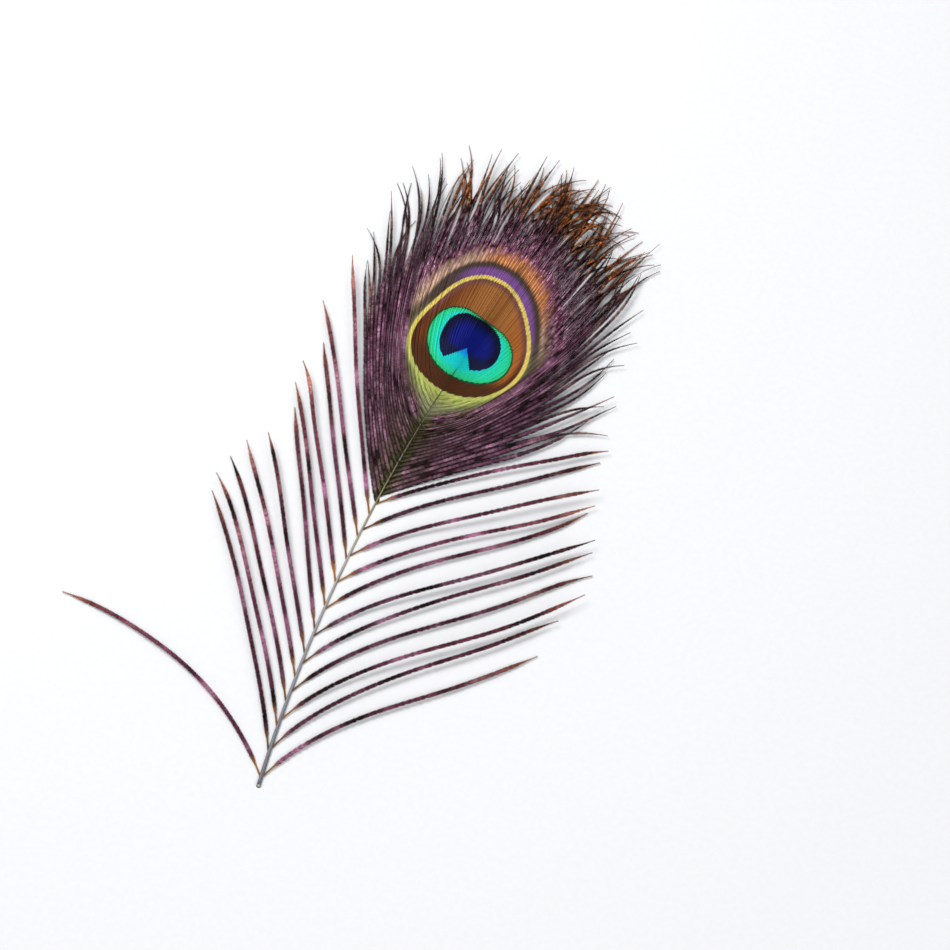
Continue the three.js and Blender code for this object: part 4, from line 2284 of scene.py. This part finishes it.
@dataclass
class Studio:
    """Pale floor, soft lights and the camera that looks down on the feather.

    Attributes:
        azimuth: The camera's bearing.
        elevation: Its height above the horizon, in degrees.
        distance: Its distance, in metres.
        target: The place that it looks at.
        mm_a_pixel: Size of a pixel there.
        image_pixels: Width of the picture.
        sensor_mm: Width of the camera's sensor.
        floor_reach: Distance from the floor's middle to its sides, in metres.
        air: Colour of the light from all round.
        air_strength: Its strength.
        lights: The soft lights.
    """

    azimuth: float = 26.0
    elevation: float = 72.0
    distance: float = 1.0
    target: tuple[float, float] = (26.94, 6.59)
    mm_a_pixel: float = 0.34
    image_pixels: int = 950
    sensor_mm: float = 36.0
    floor_reach: float = 2.0
    air: str = "#f4f7fb"
    air_strength: float = 0.42
    lights: tuple[SoftLight, ...] = (
        SoftLight("key_light", (-0.5, 0.25, 0.9), 0.5, 7.2),
        SoftLight("fill_light", (0.7, -0.4, 0.8), 0.8, 3.2),
    )

    def build(self) -> None:
        """Make the floor, the lights and the camera."""
        self.floor()
        self.camera()
        for light in self.lights:
            light.build()
        world = bpy.data.worlds.new("studio_air")
        world.use_nodes = True
        air = world.node_tree.nodes["Background"]
        air.inputs["Color"].default_value = linear(self.air)
        air.inputs["Strength"].default_value = self.air_strength
        bpy.context.scene.world = world
        bpy.context.scene.view_settings.view_transform = "Standard"

    def floor(self) -> None:
        """Make the floor."""
        shape = bmesh.new()
        bmesh.ops.create_grid(shape, x_segments=2, y_segments=2, size=self.floor_reach)
        mesh = bpy.data.meshes.new("floor")
        shape.to_mesh(mesh)
        shape.free()
        mesh.materials.append(FloorPaper().material())
        floor = bpy.data.objects.new("floor", mesh)
        bpy.context.scene.collection.objects.link(floor)

    def camera(self) -> None:
        """Aim the camera at the middle of the picture's frame."""
        turn, tilt = math.radians(self.azimuth), math.radians(self.elevation)
        back = Vector(
            (math.sin(turn) * math.cos(tilt), -math.cos(turn) * math.cos(tilt), math.sin(tilt))
        )
        target = Vector((self.target[0] * MM, self.target[1] * MM, 0.0))
        data = bpy.data.cameras.new("camera")
        data.sensor_width = self.sensor_mm
        focal_pixels = self.distance / (self.mm_a_pixel * MM)
        data.lens = focal_pixels * self.sensor_mm / self.image_pixels
        camera = bpy.data.objects.new("camera", data)
        camera.location = target + back * self.distance
        camera.rotation_euler = (-back).to_track_quat("-Z", "Y").to_euler()
        bpy.context.scene.collection.objects.link(camera)
        bpy.context.scene.camera = camera


# ---------------------------------------------------------------- the feather


# Places along the shaft, and how many barbs each side has.
FLANK_END = 137.0
FLANK_BARBS = 18
EYE_START = 138.2
EYE_ENDS = {Side.LEFT: 171.0, Side.RIGHT: 171.6}
EYE_BARBS = 80


def main() -> None:
    """Build the feather and its stage."""
    logging.basicConfig(level=logging.INFO, format="%(message)s")
    Studio().build()
    shaft = Shaft().build()
    LOG.info("%s: %s faces", shaft.name, len(shaft.data.polygons))
    pair = BarbulePair().build()
    loose_style = BarbuleStyle(
        "loose_barbules", spacing=0.20, twist=10.0, twist_length=2.4, scatter=22.0
    )
    close_style = BarbuleStyle(
        "close_barbules", spacing=0.28, twist=14.0, twist_length=2.8, scatter=16.0
    )
    loose_barbules = barbule_tree(loose_style, pair)
    close_barbules = barbule_tree(close_style, pair)
    loose_finish = BarbKeratin("purple_barb_keratin").material()
    # The flank's gleam and shadow colours are painted highlight and shade, and its groove and
    # split values the painted shade between barbs.
    flank_finish = BarbKeratin(
        "lilac_barb_keratin",
        stops=(
            (0.0, "#54473a"),
            (0.15, "#5c4048"),
            (0.5, "#603a50"),
            (0.85, "#442830"),
            (1.0, "#34201a"),
        ),
        root="#4e4830",
        root_length=3.2,
        gleam="#966c80",
        outer_gleam="#8a6660",
        shadow="#20100f",
        dash=8.0,
        groove=0.3,
        split=0.2,
    ).material()
    eye_finish = EyeKeratin("eye_barb_keratin").material()
    for side, row in ROWS.items():
        for number in range(1, row.loose_barbs + 1):
            LooseBarb(row, number).build(loose_barbules, loose_finish)
        LOG.info("loose barbs on the %s: %s", side.word, row.loose_barbs)
        CloseBarbs(
            row,
            f"flank_vane_{side.word}",
            f"flank_barbs_{side.word}",
            "flank_barbs",
            row.flank_start,
            FLANK_END,
            FLANK_BARBS,
            closes_below=False,
        ).build(close_barbules, flank_finish)
        CloseBarbs(
            row,
            f"eye_vane_{side.word}",
            f"eye_barbs_{side.word}",
            "eye_barbs",
            EYE_START,
            EYE_ENDS[side],
            EYE_BARBS,
            under_every=3,
        ).build(close_barbules, eye_finish)
    bpy.data.objects.remove(pair)


if __name__ == "__main__":
    main()
